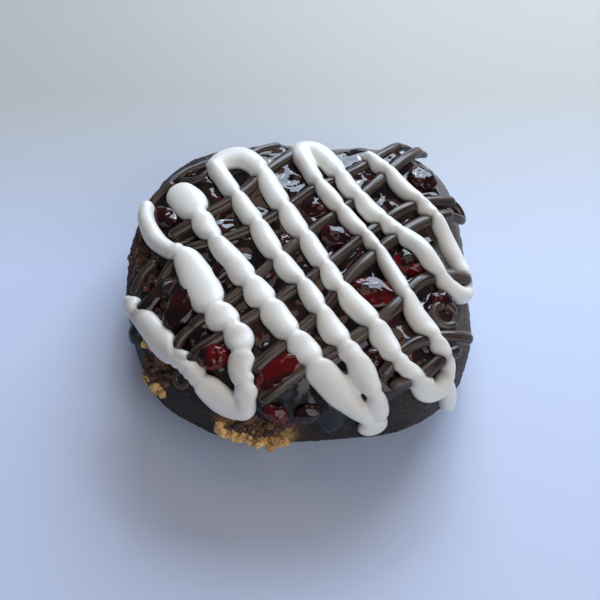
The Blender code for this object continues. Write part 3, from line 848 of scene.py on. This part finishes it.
@dataclass
class Filling:
    """The cherry gel: a thick pool over the top, with runs down the wall."""

    dough: Dough
    cherries: tuple
    reach: tuple = (45, 56, 60, 53, 51, 51, 57, 51, 46, 46, 54, 64, 63, 61, 56)
    depth: float = 2.6
    lump: float = 1.0
    lump_fall: float = 4.0
    rim_power: float = 0.18
    sink: float = 3.2
    edge_sink: float = 1.9
    beyond: float = 3.0
    drips: tuple = (
        (5.2, ((7, -49), (10, -57), (12, -62))),
        (4.4, ((19, -46), (22, -55))),
        (3.2, ((-42, -14), (-50, -21), (-57, -28))),
    )
    drip_depth: float = 3.2
    drip_spread: float = 0.22
    rim: tuple = ((-43, -12), (-42, -17), (-40, -24), (-36, -32), (-33, -38))
    rim_height: float = 1.8
    rim_width: float = 1.0
    dull_from: float = 44.0
    dull_to: float = 56.0
    creep: float = 1.0
    creep_reach: float = 0.8
    # Unevenness: size, height, and which layer of the noise it is
    swells: tuple = (8.0, 1.2, 3.0)
    folds: tuple = (7.0, 1.3, 9.0)
    ripples: tuple = (3.0, 0.2, 5.0)
    fold_mean: float = 0.25
    # Less gel than this is none at all, and more than this is as uneven as it gets
    least_depth: float = 0.05
    full_depth: float = 2.0
    columns: int = 460
    rows: int = 170
    ease_rounds: int = 3

    def edge(self, angle: np.ndarray) -> np.ndarray:
        """Gives the reach of the pool, smooth between its named values.

        Args:
            angle: Directions from the middle, in radians.

        Returns:
            The reach in each direction.
        """
        turn = (angle / (2 * math.pi)) % 1.0 * len(self.reach)
        first = np.floor(turn).astype(int)
        part = turn - first
        blend = part * part * (3 - 2 * part)
        reach = np.array(self.reach, dtype=float)
        here = reach[first % len(reach)]
        return here + (reach[(first + 1) % len(reach)] - here) * blend

    def top(self, u: np.ndarray, v: np.ndarray) -> np.ndarray:
        """Gives the depth of the pool over the dough, with a rounded rim and lumps by cherries.

        Args:
            u: How far each spot lies to the right.
            v: How far it lies to the back.

        Returns:
            The depth at each spot.
        """
        share = np.hypot(u, v) / self.edge(np.arctan2(v, u))
        lumps = np.zeros_like(share)
        for at_u, at_v, half_length, half_width, _ in self.cherries:
            away = np.hypot(u - at_u, v - at_v) / (half_length + half_width)
            lumps = np.maximum(lumps, np.exp(-self.lump_fall * away * away))
        rim = np.clip(1 - share * share, 0.0, None) ** self.rim_power
        return (self.depth + self.lump * lumps) * rim

    def uneven(self, u: float, v: float) -> float:
        """Gives the gel's unevenness: swells, ripples, and folds with a sharp crest.

        Args:
            u: How far the spot lies to the right.
            v: How far it lies to the back.

        Returns:
            How far the gel stands out there.
        """
        kinds = (self.swells, self.folds, self.ripples)
        swell, fold, ripple = (noise.noise(Vector((u, v, layer)) / size)
                               for size, _, layer in kinds)
        folded = self.fold_mean - abs(fold)
        return self.swells[1] * swell + self.folds[1] * folded + self.ripples[1] * ripple

    def full_reach(self, angle: np.ndarray) -> np.ndarray:
        """Gives how far the skin is drawn out, past the pool and its drips.

        Args:
            angle: Directions from the middle, in radians.

        Returns:
            The reach in each direction.
        """
        far = self.edge(angle) + self.beyond
        for half, named in self.drips:
            turn = turned(angle, math.atan2(named[-1][1], named[-1][0])) / self.drip_spread
            tip = math.hypot(*named[-1]) + half + self.beyond
            far = np.maximum(far, tip * np.exp(-(turn**4)))
        return far

    def depth_at(self, spots: np.ndarray) -> np.ndarray:
        """Gives the depth of the pool and its drips.

        Args:
            spots: Spots (u, v), one row each.

        Returns:
            The depth at each spot.
        """
        depth = self.top(*spots.T)
        for half, named in self.drips:
            away = distance_to(spots, [Line.through(named)]) / half
            run = self.drip_depth * np.sqrt(np.clip(1 - away * away, 0.0, None))
            depth = np.maximum(depth, run)
        return depth

    def creep_at(self, spots: np.ndarray, strands: list) -> np.ndarray:
        """Says how far the gel creeps up the strands that lie in it.

        Args:
            spots: Spots (u, v), one row each.
            strands: The strands' middle lines and diameters.

        Returns:
            The rise at each spot.
        """
        crept = np.zeros(len(spots))
        for size in sorted({size for _, size in strands}):
            away = distance_to(spots, [line for line, width in strands if width == size])
            away = np.clip(away - size / 2, 0.0, None)
            crept = np.maximum(crept, self.creep * np.exp(-away / self.creep_reach))
        return crept

    def build(self, finish: bpy.types.Material, strands: list) -> bpy.types.Object:
        """Builds the gel as one closed skin that dives under the crust at its edge.

        Args:
            finish: Its material.
            strands: The strands' middle lines and diameters, up which the gel creeps.

        Returns:
            The piece.
        """
        bm, ball = unit_ball(self.columns, self.rows)
        angle = np.arctan2(ball[:, 1], ball[:, 0])
        share = np.arccos(np.clip(np.abs(ball[:, 2]), 0.0, 1.0)) / (math.pi / 2)
        far = self.full_reach(angle)
        u, v = share * far * np.cos(angle), share * far * np.sin(angle)
        spots = np.stack([u, v], axis=1)
        depth = self.depth_at(spots)
        rough = np.array([self.uneven(x, y) for x, y in spots])
        lift = rough + self.creep_at(spots, strands)
        lift = lift * np.clip(depth / self.full_depth, 0.0, 1.0)
        away = distance_to(spots, [Line.through(self.rim)]) / self.rim_width
        lift = lift + self.rim_height * np.exp(-away * away)
        rise = np.where(depth > self.least_depth, depth + lift, -self.edge_sink)
        rise = np.where(ball[:, 2] < -1e-6, -self.sink, rise)
        points, _ = self.dough.place(u, v, rise)
        move_points(bm, points)
        piece = new_piece("cherry_gel", bm, finish)
        arc = self.dough.arc_at(u, v)
        dull = np.interp(arc, (self.dull_from, self.dull_to), (0.0, 1.0)) * (v < 0)
        set_attribute(piece, "dull", np.maximum(dull, np.exp(-away * away)))
        ease(piece, self.ease_rounds)
        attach(piece, BODY)
        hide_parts("cherry_filling")
        return piece


@dataclass
class Cherries:
    """The cherries in the filling, each a plump lump pressed out of shape by its neighbours."""

    dough: Dough
    spots: tuple = (
        (23, -20, 8.0, 6.0, -52),
        (37, -6, 7.4, 5.2, -60),
        (42, 31, 6.0, 5.2, -40),
        (-36, -22, 9.5, 5.6, -66),
        (-45, 14, 7.0, 4.6, 75),
        (-26, -41, 5.4, 4.2, 35),
        (-5, -46, 9.0, 5.8, 40),
        (-7, -57, 4.4, 3.4, -20),
        (3, -57, 4.6, 3.6, 10),
        (-24, -11, 6.6, 4.2, -56),
        (6, 15, 6.2, 5.2, 40),
        (12, 3, 6.0, 4.8, 45),
        (-5, 0, 4.4, 3.8, -40),
        (31, 15, 4.4, 3.8, 0),
        (45, -20, 4.4, 3.8, -50),
        (23, -41, 4.6, 3.6, 20),
    )
    ripe: tuple = (1, 2, 6, 7, 8)
    rise: float = 3.3
    half_depth: float = 3.2
    flatness: float = 0.8
    dents: tuple = ((1.7, 0.12), (2.9, 0.05))
    fold: float = 0.07
    fold_count: float = 1.9
    steeped_sunk: float = 0.9
    fineness: int = 5

    def top(self, u: np.ndarray, v: np.ndarray) -> np.ndarray:
        """Gives the height of the cherries over the dough.

        Args:
            u: How far each spot lies to the right.
            v: How far it lies to the back.

        Returns:
            The height at each spot, or 0 where there is no cherry.
        """
        best = np.zeros_like(u)
        for at_u, at_v, half_length, half_width, turn in self.spots:
            angle = math.radians(turn)
            along = (u - at_u) * math.cos(angle) + (v - at_v) * math.sin(angle)
            across = (v - at_v) * math.cos(angle) - (u - at_u) * math.sin(angle)
            share = (along / half_length) ** 2 + (across / half_width) ** 2
            height = self.rise + self.half_depth * np.sqrt(np.clip(1 - share, 0.0, None))
            best = np.where(share < 1.0, np.maximum(best, height), best)
        return best

    def build(self, finish: bpy.types.Material) -> list[bpy.types.Object]:
        """Builds each cherry in place of its solid.

        Args:
            finish: Their material.

        Returns:
            The pieces.
        """
        pieces = []
        for number, (u, v, half_length, half_width, turn) in enumerate(self.spots, start=1):
            bm = bmesh.new()
            bmesh.ops.create_icosphere(bm, subdivisions=self.fineness, radius=1.0)
            half_depth = min(self.half_depth, half_width * self.flatness)
            rise = self.rise - (0.0 if number in self.ripe else self.steeped_sunk)
            middle, out = (Vector(each) for each in self.dough.place(u, v, rise))
            facing = out.to_track_quat("Z", "Y").to_matrix().to_4x4()
            lie = Matrix.Translation(middle) @ facing
            lie = lie @ Matrix.Rotation(math.radians(turn), 4, "Z")
            seed = Vector((u, v, 0.0))
            for vert in bm.verts:
                ball = vert.co.copy()
                dent = 1.0 - self.fold * abs(noise.noise(ball * self.fold_count - seed))
                for count, height in self.dents:
                    dent += height * noise.noise(ball * count + seed)
                size = Vector((half_length, half_width, half_depth)) * (dent * MM)
                vert.co = lie @ Vector([ball[i] * size[i] for i in range(3)])
            piece = new_piece(f"sour_cherry_{number:02d}", bm, finish)
            ripeness = 1.0 if number in self.ripe else 0.0
            set_attribute(piece, "ripe", np.full(len(piece.data.vertices), ripeness))
            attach(piece, BODY)
            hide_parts(f"cherry_{number:02d}")
            pieces.append(piece)
        return pieces


@dataclass
class Strands:
    """Dark chocolate piped to and fro across the filling."""

    dough: Dough
    filling: Filling
    lines: tuple = (
        (4.0, ((-50, 19), (-47, 24), (-42, 29))),
        (2.8, ((-41, 30), (-36, 34), (-30, 35))),
        (2.8, ((-40, 29), (-34, 28), (-30, 33))),
        (3.6, ((-28, 37), (-19, 37), (-14, 42), (-6, 46))),
        (4.4, ((-42, 4), (-30, 12), (-19, 20), (-10, 31), (4, 46))),
        (3.8, ((-37, -2), (-23, 2), (-10, 9), (5, 22), (20, 32), (36, 49))),
        (2.8, ((31, 42), (38, 52), (44, 55), (46, 50), (38, 42))),
        (4.0, ((-34, -31), (-20, -21), (-4, -4), (13, 12), (24, 23), (43, 48))),
        (3.6, ((-26, -26), (-35, -32), (-38, -37), (-34, -41), (-25, -36))),
        (4.2, ((-33, -40), (-18, -31), (-3, -20), (11, -8), (24, 5), (38, 17), (53, 24))),
        (3.2, ((46, 21), (54, 24), (58, 20), (51, 17), (43, 12))),
        (4.6, ((-14, -46), (-2, -36), (8, -26), (19, -11), (31, 2), (43, 12), (51, 17))),
        (4.8, ((-12, -54), (3, -44), (17, -36), (29, -26), (40, -13), (56, -8))),
        (4.4, ((25, -47), (33, -38), (43, -33), (56, -30))),
        (4.4, ((28, -49), (37, -46), (45, -39), (51, -35))),
        (3.4, ((-37, -3), (-42, -9), (-45, -16))),
        (3.0, ((-46, -4), (-51, -8), (-54, -14))),
        (2.8, ((-46, -17), (-50, -19), (-53, -21))),
        (2.2, ((-30, -37), (-33, -41), (-36, -45))),
    )
    rings: tuple = ((-37, -46, 2.8, 2.2), (56, -9, 3.4, 2.4), (46, -25, 4.2, 3.4))
    ring_start: float = math.radians(20)
    ring_step: float = math.radians(45)
    ring_spots: int = 8
    sunk: float = 0.28
    clear: float = 0.8
    # How a strand bobs and swells: height or share, length, and the step and start of the seed
    bob: tuple = (0.25, 9.0, 3.7, 0.0)
    swell: tuple = (0.14, 8.0, 5.1, 2.0)
    uv_gap: float = 40.0
    grooves: tuple = ((3, 0.025, 1.0), (7, 0.012, 2.0))
    flatness: float = 0.94
    ground_rounds: int = 12
    step: float = 0.9
    sides: int = 28

    def paths(self) -> list[tuple[Line, float]]:
        """Lists the strands and rings.

        Returns:
            The middle line and the diameter of each.
        """
        found = [(Line.through(spots), size) for size, spots in self.lines]
        for u, v, radius, size in self.rings:
            angles = self.ring_start + self.ring_step * np.arange(self.ring_spots)
            ring = np.stack([u + radius * np.cos(angles), v + radius * np.sin(angles)], axis=1)
            found.append((Line(ring), size))
        return found

    def build(self, finish: bpy.types.Material) -> bpy.types.Object:
        """Builds the strands as grooved tubes, a little sunk in the gel.

        Args:
            finish: Their material.

        Returns:
            The piece.
        """
        tubes = Tubes(self.dough)
        around = np.arange(self.sides) * 2 * math.pi / self.sides
        for number, (line, size) in enumerate(self.paths()):
            spots, stops, full = line.stations(self.step, size / 2)
            ground = soften(self.filling.top(*spots.T[:2]), self.ground_rounds)
            rise = np.maximum(ground + size * (0.5 - self.sunk), size * 0.5 + self.clear)
            rise = rise + wobble(stops, self.bob, number)
            radius = full * (1 + wobble(stops, self.swell, number)) * size / 2
            ridges = np.ones(self.sides)
            for count, depth, shift in self.grooves:
                ridges = ridges + depth * np.sin(around * count + shift * number)
            wide = radius[:, None] * (np.cos(around) * ridges)[None, :]
            high = radius[:, None] * (np.sin(around) * ridges)[None, :] * self.flatness
            tubes.add(spots, rise, wide, high, stops + self.uv_gap * number, math.pi * size)
        piece = tubes.piece("chocolate_strands", finish)
        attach(piece, BODY)
        return piece


@dataclass
class Icing:
    """The zigzag of white icing, beaded where it sinks between the strands."""

    dough: Dough
    filling: Filling
    cherries: Cherries
    strands: Strands
    # Runs: spots with the half width that the icing swells to there
    runs: tuple = (
        ((-58, -14, 4.2), (-51, -23, 4.0), (-42, -35, 4.6), (-34, -43, 4.2), (-24, -54, 4.8),
         (-16, -57, 4.0)),
        ((-42, -1, 3.8), (-36, -6, 4.8), (-31, -16, 6.0), (-26, -26, 5.6), (-18, -36, 4.8),
         (-17, -45, 4.6), (-15, -55, 4.2)),
        ((-42, 25, 4.8), (-36.5, 18, 6.0), (-29, 4, 3.8), (-20, -10, 4.1), (-11, -23, 5.0),
         (-3, -34, 4.5), (9, -48, 5.2), (25, -61, 2.6)),
        ((-29, 35, 3.2), (-22, 21, 3.3), (-14, 7, 3.7), (-6, -8, 3.7), (3, -20, 3.3),
         (10, -33, 4.0), (19, -45, 4.3), (28, -60, 3.2)),
        ((-15, 35, 3.9), (-9, 22, 3.8), (-2, 8, 3.8), (5, -4, 3.5), (13, -19, 3.6),
         (22, -30, 4.1), (31, -43, 3.7), (43, -49, 3.4)),
        ((1, 38, 3.0), (8, 21, 2.9), (17, 8, 3.0), (25, -3, 2.5), (31, -15, 2.8), (37, -28, 3.6),
         (47, -40, 2.9), (48, -47, 2.6)),
        ((9, 38, 3.9), (16, 24, 3.3), (25, 11, 3.4), (35, 1, 3.1), (42, -9, 3.2), (49, -15, 2.6),
         (56, -14, 3.0)),
        ((22, 38, 2.8), (29, 31, 2.9), (36, 22, 3.0), (43, 14, 2.9), (49, 6, 3.1), (54, -3, 2.9),
         (55, -12, 2.7)),
    )
    # Turns and drips, that no strand pinches, in the same way
    turns: tuple = (
        ((-36, -5, 2.6), (-42, -1, 3.0), (-47, 5, 3.3), (-49, 12, 2.7), (-48, 18, 2.3)),
        ((-25, 27, 3.2), (-28, 33, 3.6), (-25, 37, 4.6), (-20, 38, 5.0), (-15, 34, 3.9),
         (-11, 27, 3.4)),
        ((4, 30, 2.8), (1, 38, 3.4), (1, 42, 4.2), (5, 42, 4.6), (9, 37, 4.1), (13, 30, 3.2)),
        ((34, -46, 3.2), (41, -50, 3.6), (47, -49, 3.4), (48, -42, 2.8)),
        ((-31, -47, 2.8), (-24, -54, 3.4), (-17, -57, 3.4), (-16, -50, 3.2)),
        ((46, -13, 2.8), (52, -15, 3.1), (56, -12, 3.0), (54, -3, 2.8)),
        ((25, -59, 3.8), (27, -63, 5.2), (28, -68, 5.4)),
        ((48, -46, 3.0), (54, -51, 2.9), (61, -57, 2.5)),
    )
    # Spots where a run is thin although no strand crosses it
    necks: tuple = (
        (-53, -20.5), (-37.5, -39), (-30.5, -47), (-17, -40), (-16, -49), (21, -57), (16, -42.5),
        (23, -51), (31.5, -44), (37.5, -47.5), (47.5, -43),
    )
    pinched_share: float = 0.46
    lobe_reach: float = 4.8
    probe_reach: float = 0.75
    half_depth: float = 3.1
    thinned: float = 0.30
    lift: float = 1.3
    lift_reach: float = 3.0
    clear: float = -1.9
    ground_rounds: int = 30
    # Unevenness of runs and turns, as the strands have it
    run_waves: tuple = (0.08, 7.0, 10.0, 0.0)
    turn_waves: tuple = (0.08, 7.0, 7.0, 3.0)
    end_share: float = 0.9
    step: float = 0.7
    sides: int = 32
    voxel: float = 0.5
    ease_rounds: int = 6
    # How far above what it lies on the icing still gets painted shade, where that ends, and how
    # much
    shade_reach: float = 0.8
    shade_limit: float = 2.4
    shade_strength: float = 0.6

    def clearance(self, spots: np.ndarray, reach: np.ndarray, strands: list[Line]) -> np.ndarray:
        """Measures how far the icing is from the strands or the neck that pinch it.

        Args:
            spots: The spots of its middle line, one row for each ring.
            reach: How far to the side of those to measure, as [ring, place round the ring].
            strands: The strands.

        Returns:
            The distance at each place.
        """
        heading = np.gradient(spots, axis=0)
        heading /= np.linalg.norm(heading, axis=1, keepdims=True)
        right = np.stack([heading[:, 1], -heading[:, 0]], axis=1)
        probes = spots[:, None, :] + right[:, None, :] * reach[..., None]
        away = distance_to(probes.reshape(-1, 2), strands).reshape(reach.shape)
        to_necks = np.linalg.norm(spots[:, None, :] - np.array(self.necks)[None, :, :], axis=2)
        return np.minimum(away, to_necks.min(axis=1)[:, None])

    def add_run(self, tubes: Tubes, line: Line, strands: list[Line], number: int) -> None:
        """Adds one run or turn of icing.

        Args:
            tubes: What it is added to.
            line: Its middle line, with half widths.
            strands: The strands that pinch and lift a run. A turn has none.
            number: Which of the runs or turns it is.
        """
        cap = self.end_share * float(line.spots[:, 2].mean())
        stations, stops, full = line.stations(self.step, cap)
        spots, half = stations[:, :2], stations[:, 2]
        ground = np.maximum(self.filling.top(*spots.T), self.cherries.top(*spots.T))
        angles = np.arange(self.sides) * 2 * math.pi / self.sides
        across, up = np.cos(angles)[None, :], np.sin(angles)[None, :]
        away = self.clearance(spots, self.probe_reach * half[:, None] * across, strands)
        part = np.clip(away / self.lobe_reach, 0.0, 1.0)
        lobe = np.sqrt(1 - (1 - part) ** 2)
        near = np.exp(-((away / self.lift_reach) ** 2)) if strands else np.zeros_like(away)
        waves = self.run_waves if strands else self.turn_waves
        uneven = 1 + wobble(stops, waves, number)
        share = self.pinched_share + (1 - self.pinched_share) * lobe
        wide = (full * half * uneven)[:, None] * share * across
        depth = self.half_depth * (1 - self.thinned * (1 - lobe))
        high = full[:, None] * depth * up + self.lift * near
        rise = soften(ground, self.ground_rounds) + self.half_depth + self.clear
        tubes.add(spots, rise, wide, high, stops, 2 * math.pi * float(half.mean()))

    def build(self, finish: bpy.types.Material, below: list[bpy.types.Object]) -> bpy.types.Object:
        """Builds the icing: runs, turns and drips melted into one skin.

        Args:
            finish: Its material.
            below: The pieces that it lies on, near which it gets painted shade.

        Returns:
            The piece.
        """
        strands = [line for line, _ in self.strands.paths()]
        tubes = Tubes(self.dough)
        for number, spots in enumerate(self.runs):
            self.add_run(tubes, Line.through(spots), strands, number)
        for number, spots in enumerate(self.turns):
            self.add_run(tubes, Line.through(spots), [], number)
        piece = tubes.piece("piped_icing", finish)
        melt = piece.modifiers.new("Melt", "REMESH")
        melt.mode = "VOXEL"
        melt.voxel_size = self.voxel * MM
        ease(piece, self.ease_rounds)
        self.mark_contact_shade(piece, below)
        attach(piece, BODY)
        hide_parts("white_icing")
        return piece

    def mark_contact_shade(self, piece: bpy.types.Object, below: list[bpy.types.Object]) -> None:
        """Marks where the icing lies close to what is under it, where it gets painted shade.

        Args:
            piece: The icing.
            below: The pieces under it.
        """
        graph = bpy.context.evaluated_depsgraph_get()
        trees = [BVHTree.FromObject(other, graph) for other in below]
        limit = self.shade_limit * MM
        values = []
        for vert in piece.data.vertices:
            found = [tree.find_nearest(vert.co, limit)[3] for tree in trees]
            away = min((each for each in found if each is not None), default=limit)
            # Painted shade, darkest where the icing touches what is under it
            values.append(self.shade_strength * math.exp(-((away / (self.shade_reach * MM)) ** 2)))
        set_attribute(piece, "thin", np.array(values))


@dataclass
class Crust:
    """The dough's own skin: leathery wall, creases, wrinkles and torn places."""

    dough: Dough
    columns: int = 560
    rows: int = 160
    wall_from: float = 42.0
    wall_to: float = 99.0
    wall_rows: tuple = (0.08, 0.90)
    # Fine relief: size and height of each kind of unevenness
    leather: tuple = ((3.2, 0.30), (1.3, 0.26))
    crumb: tuple = ((1.7, 0.9), (0.9, 0.6))
    wrinkle_height: float = 0.40
    wrinkle_spacing: float = 1.9
    wrinkle_length: float = 13.0
    # The wall is painted grey from the right to the back, as a painted sheen where the window light
    # grazes it, and it is grey along its foot
    sheen_angle: float = math.radians(28)
    sheen_spread: float = 1.1
    grey_shares: tuple = (0.15, 0.85, 0.25)
    foot_height: float = 6.0
    foot_spread: float = 3.5

    def fine_relief(self, spot: Vector, torn: float) -> float:
        """Says how far the skin stands out beyond the solid's relief.

        Args:
            spot: (u, v, height over the table).
            torn: How far the spot is in a torn place.

        Returns:
            The rise.
        """
        leather = sum(high * noise.noise(spot / size) for size, high in self.leather)
        layer = Vector((spot.x / self.wrinkle_length, spot.y / self.wrinkle_length,
                        spot.z / self.wrinkle_spacing))
        wrinkle = -self.wrinkle_height * abs(noise.noise(layer))
        crumb = sum(high * noise.noise(spot / size) for size, high in self.crumb)
        return (leather + wrinkle) * (1 - torn) + crumb * torn

    def sheen_and_foot_grey(self, angle: np.ndarray, height: np.ndarray) -> np.ndarray:
        """Says how grey the wall is painted: a painted sheen from the right to the back, and grey
        along its foot.

        Args:
            angle: Directions from the middle.
            height: Heights over the table.

        Returns:
            From 0 for none to 1.
        """
        side = np.exp(-((turned(angle, self.sheen_angle) / self.sheen_spread) ** 2))
        foot = np.exp(-(((height - self.foot_height) / self.foot_spread) ** 2))
        least, at_side, at_foot = self.grey_shares
        return np.clip(least + at_side * side + at_foot * foot, 0.0, 1.0)

    def build(self, finish: bpy.types.Material) -> bpy.types.Object:
        """Builds the crust from a ball whose rings are laid down the side profile.

        Args:
            finish: Its material.

        Returns:
            The piece.
        """
        bm, ball = unit_ball(self.columns, self.rows)
        angle = np.arctan2(ball[:, 1], ball[:, 0])
        share = np.arccos(np.clip(ball[:, 2], -1.0, 1.0)) / math.pi
        arcs = (0.0, self.wall_from, self.wall_to, self.dough.side["arc"][-1])
        arc = np.interp(share, (0.0, *self.wall_rows, 1.0), arcs)
        scale = self.dough.outline(angle) / self.dough.mean_radius
        u, v = arc * scale * np.cos(angle), arc * scale * np.sin(angle)
        height = self.dough.read("height", arc)
        torn, golden, rise = (np.zeros(len(ball)) for _ in range(3))
        for i in np.flatnonzero((arc > self.wall_from) & (arc < self.wall_to)):
            torn[i] = self.dough.torn(u[i], v[i])
            golden[i] = self.dough.torn(u[i], v[i], (Crumb.GOLDEN,))
            fine = self.fine_relief(Vector((u[i], v[i], height[i])), torn[i])
            rise[i] = self.dough.relief(u[i], v[i], arc[i]) + fine
        points, _ = self.dough.place(u, v, rise)
        points[:, 2] = np.maximum(points[:, 2], 0.0)
        move_points(bm, points)
        piece = new_piece("cocoa_crust", bm, finish)
        set_attribute(piece, "torn", torn)
        set_attribute(piece, "golden", golden)
        # Painted sheen on the right and back, with the grey along the foot
        set_attribute(piece, "sheen_and_foot_grey", self.sheen_and_foot_grey(angle, height))
        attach(piece, BODY)
        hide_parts("bun")
        return piece


@dataclass
class Crumbs:
    """Grains of torn crumb that cling to the wall."""

    dough: Dough
    # Patches of grains: u, v, half size across and down, kind
    patches: tuple = (
        (-26, -66, 5, 4, Crumb.GOLDEN),
        (-18, -71, 6, 6, Crumb.GOLDEN),
        (-10, -73, 6, 7, Crumb.GOLDEN),
        (-14, -79, 6, 4, Crumb.GOLDEN),
        (-9, -82, 4, 3, Crumb.GOLDEN),
        (-54, -48, 4, 4, Crumb.GOLDEN),
        (-57, -43, 3, 3, Crumb.GOLDEN),
        (-51, -31, 3, 4, Crumb.GOLDEN),
        (-45, -22, 4, 13, Crumb.DARK),
        (-51, -4, 5, 9, Crumb.DARK),
        (-50, -42, 7, 6, Crumb.DARK),
        (-12, -62, 12, 3, Crumb.DARK),
        (-57, 6, 5, 12, Crumb.DARK),
    )
    per_square_mm: float = 3.0
    batch: int = 60
    smallest: float = 0.2
    largest: float = 1.7
    rarity: float = 5.0
    spread: float = 1.05
    sunk: float = 0.25
    uneven: tuple = (0.7, 1.25)
    # No grain reaches further to the front than this
    front: float = 62.5
    seed: int = 7

    def build(self, kind: Crumb, finish: bpy.types.Material) -> bpy.types.Object:
        """Builds all grains of one kind as one piece.

        Args:
            kind: Golden or dark.
            finish: Their material.

        Returns:
            The piece.
        """
        draw = random.Random(self.seed)
        spots = []
        for at_u, at_v, half_u, half_v, patch in self.patches:
            if patch is not kind:
                continue
            for _ in range(round(self.per_square_mm * math.pi * half_u * half_v)):
                far = math.sqrt(draw.random()) * self.spread
                way = draw.uniform(0, 2 * math.pi)
                spots.append((at_u + half_u * far * math.cos(way),
                              at_v + half_v * far * math.sin(way)))
        # Small batches, because an operator slows down as its bmesh grows
        whole = bmesh.new()
        tones = []
        for first in range(0, len(spots), self.batch):
            bm = bmesh.new()
            for u, v in spots[first:first + self.batch]:
                tones += self.add_grain(bm, u, v, draw)
            grains = bpy.data.meshes.new("grains")
            bm.to_mesh(grains)
            bm.free()
            whole.from_mesh(grains)
            bpy.data.meshes.remove(grains)
        piece = new_piece(f"{kind.value}_crumb", whole, finish)
        piece.data.shade_flat()
        set_attribute(piece, "tone", np.array(tones))
        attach(piece, BODY)
        return piece

    def add_grain(self, bm: bmesh.types.BMesh, u: float, v: float,
                  draw: random.Random) -> list[float]:
        """Adds one grain, an uneven small lump.

        Args:
            bm: The bmesh.
            u: To the right.
            v: To the back.
            draw: The source of its unevenness.

        Returns:
            The tone of each of its points.
        """
        arc = float(self.dough.arc_at(np.array(u), np.array(v)))
        size = self.smallest + (self.largest - self.smallest) * draw.random() ** self.rarity
        rise = self.dough.relief(u, v, arc) + size * self.sunk
        point = Vector(self.dough.place(u, v, rise)[0])
        if point.y < (size - self.front) * MM:
            return []
        axis = Vector((draw.random(), draw.random(), 0.5))
        lie = Matrix.Translation(point) @ Matrix.Rotation(draw.uniform(0, math.pi), 4, axis)
        made = bmesh.ops.create_icosphere(bm, subdivisions=1, radius=size * MM, matrix=lie)["verts"]
        for vert in made:
            vert.co = point + (vert.co - point) * draw.uniform(*self.uneven)
        tone = draw.uniform(0.0, 1.0)
        return [tone] * len(made)


@dataclass
class Studio:
    """The table, the lights, the sky and the camera."""

    elevation: float = math.radians(55)
    distance: float = 0.43
    aim: tuple = (0.0005, -0.0052, 0.018)
    lens: float = 75.9
    table_size: float = 1.5
    # Lights: name, place, width and depth, watts, colour
    lights: tuple = (
        ("window", (0.32, 0.92, 0.62), (1.0, 0.75), 17.5, "#dcebff"),
        ("glint", (0.20, 0.95, 0.80), (0.10, 0.10), 0.9, "#f4f8ff"),
        ("ceiling", (0.0, 0.35, 1.15), (0.6, 0.6), 1.2, "#ffdcbc"),
        ("wall", (0.45, -0.75, 0.60), (1.0, 0.8), 5.2, "#f0eeee"),
    )
    sky: str = "#d2d6e4"
    sky_strength: float = 0.16

    def build(self) -> None:
        """Sets up the table, the lights, the sky and the camera."""
        self.table()
        for light in self.lights:
            self.light(*light)
        world = bpy.data.worlds.new("room")
        world.use_nodes = True
        sky = world.node_tree.nodes["Background"]
        sky.inputs["Color"].default_value = linear(self.sky)
        sky.inputs["Strength"].default_value = self.sky_strength
        bpy.context.scene.world = world
        bpy.context.scene.view_settings.view_transform = "Standard"
        self.camera()

    def table(self) -> None:
        """Makes the table top."""
        bm = bmesh.new()
        bmesh.ops.create_grid(bm, x_segments=8, y_segments=8, size=self.table_size)
        floor = new_piece("table", bm, TableFinish().material())

    def light(self, name: str, place: tuple, size: tuple, power: float, colour: str) -> None:
        """Adds a soft rectangular light that faces the bun.

        Args:
            name: Its name.
            place: Where it stands, in metres.
            size: Its width and height, in metres.
            power: Its power in watts.
            colour: Its sRGB hex colour.
        """
        data = bpy.data.lights.new(name, "AREA")
        data.shape = "RECTANGLE"
        data.size, data.size_y = size
        data.energy = power
        data.color = linear(colour)[:3]
        lamp = bpy.data.objects.new(name, data)
        lamp.location = place
        lamp.rotation_euler = (-Vector(place)).to_track_quat("-Z", "Y").to_euler()
        bpy.context.scene.collection.objects.link(lamp)

    def camera(self) -> None:
        """Sets the camera where the photograph was taken from."""
        data = bpy.data.cameras.new("camera")
        data.lens = self.lens
        data.sensor_width = 36.0
        eye = bpy.data.objects.new("camera", data)
        back = Vector((0.0, -math.cos(self.elevation), math.sin(self.elevation)))
        eye.location = Vector(self.aim) + back * self.distance
        eye.rotation_euler = (-back).to_track_quat("-Z", "Y").to_euler()
        bpy.context.scene.collection.objects.link(eye)
        bpy.context.scene.camera = eye


def logged(piece: bpy.types.Object) -> bpy.types.Object:
    """Logs a finished piece with its number of faces, and passes it on."""
    LOG.info("%s: %d faces", piece.name, len(piece.data.polygons))
    return piece


def main() -> None:
    """Builds the studio and every piece of the bun."""
    logging.basicConfig(level=logging.INFO, format="%(message)s")
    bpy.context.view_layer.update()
    Studio().build()
    dough = Dough()
    cherries = Cherries(dough)
    filling = Filling(dough, cherries.spots)
    strands = Strands(dough, filling)
    icing = Icing(dough, filling, cherries, strands)
    logged(Crust(dough).build(CocoaCrustFinish().material()))
    crumbs = Crumbs(dough)
    logged(crumbs.build(Crumb.GOLDEN, SugarCrumbFinish().material()))
    cocoa = SugarCrumbFinish("dark_cocoa_crumb", light="#6c4834", dark="#24150f")
    logged(crumbs.build(Crumb.DARK, cocoa.material()))
    gel = logged(filling.build(CherryGelFinish().material(), strands.paths()))
    for cherry in cherries.build(CherrySkinFinish().material()):
        logged(cherry)
    chocolate = logged(strands.build(DarkChocolateFinish().material()))
    logged(icing.build(SugarIcingFinish().material(), [gel, chocolate]))


if __name__ == "__main__":
    main()
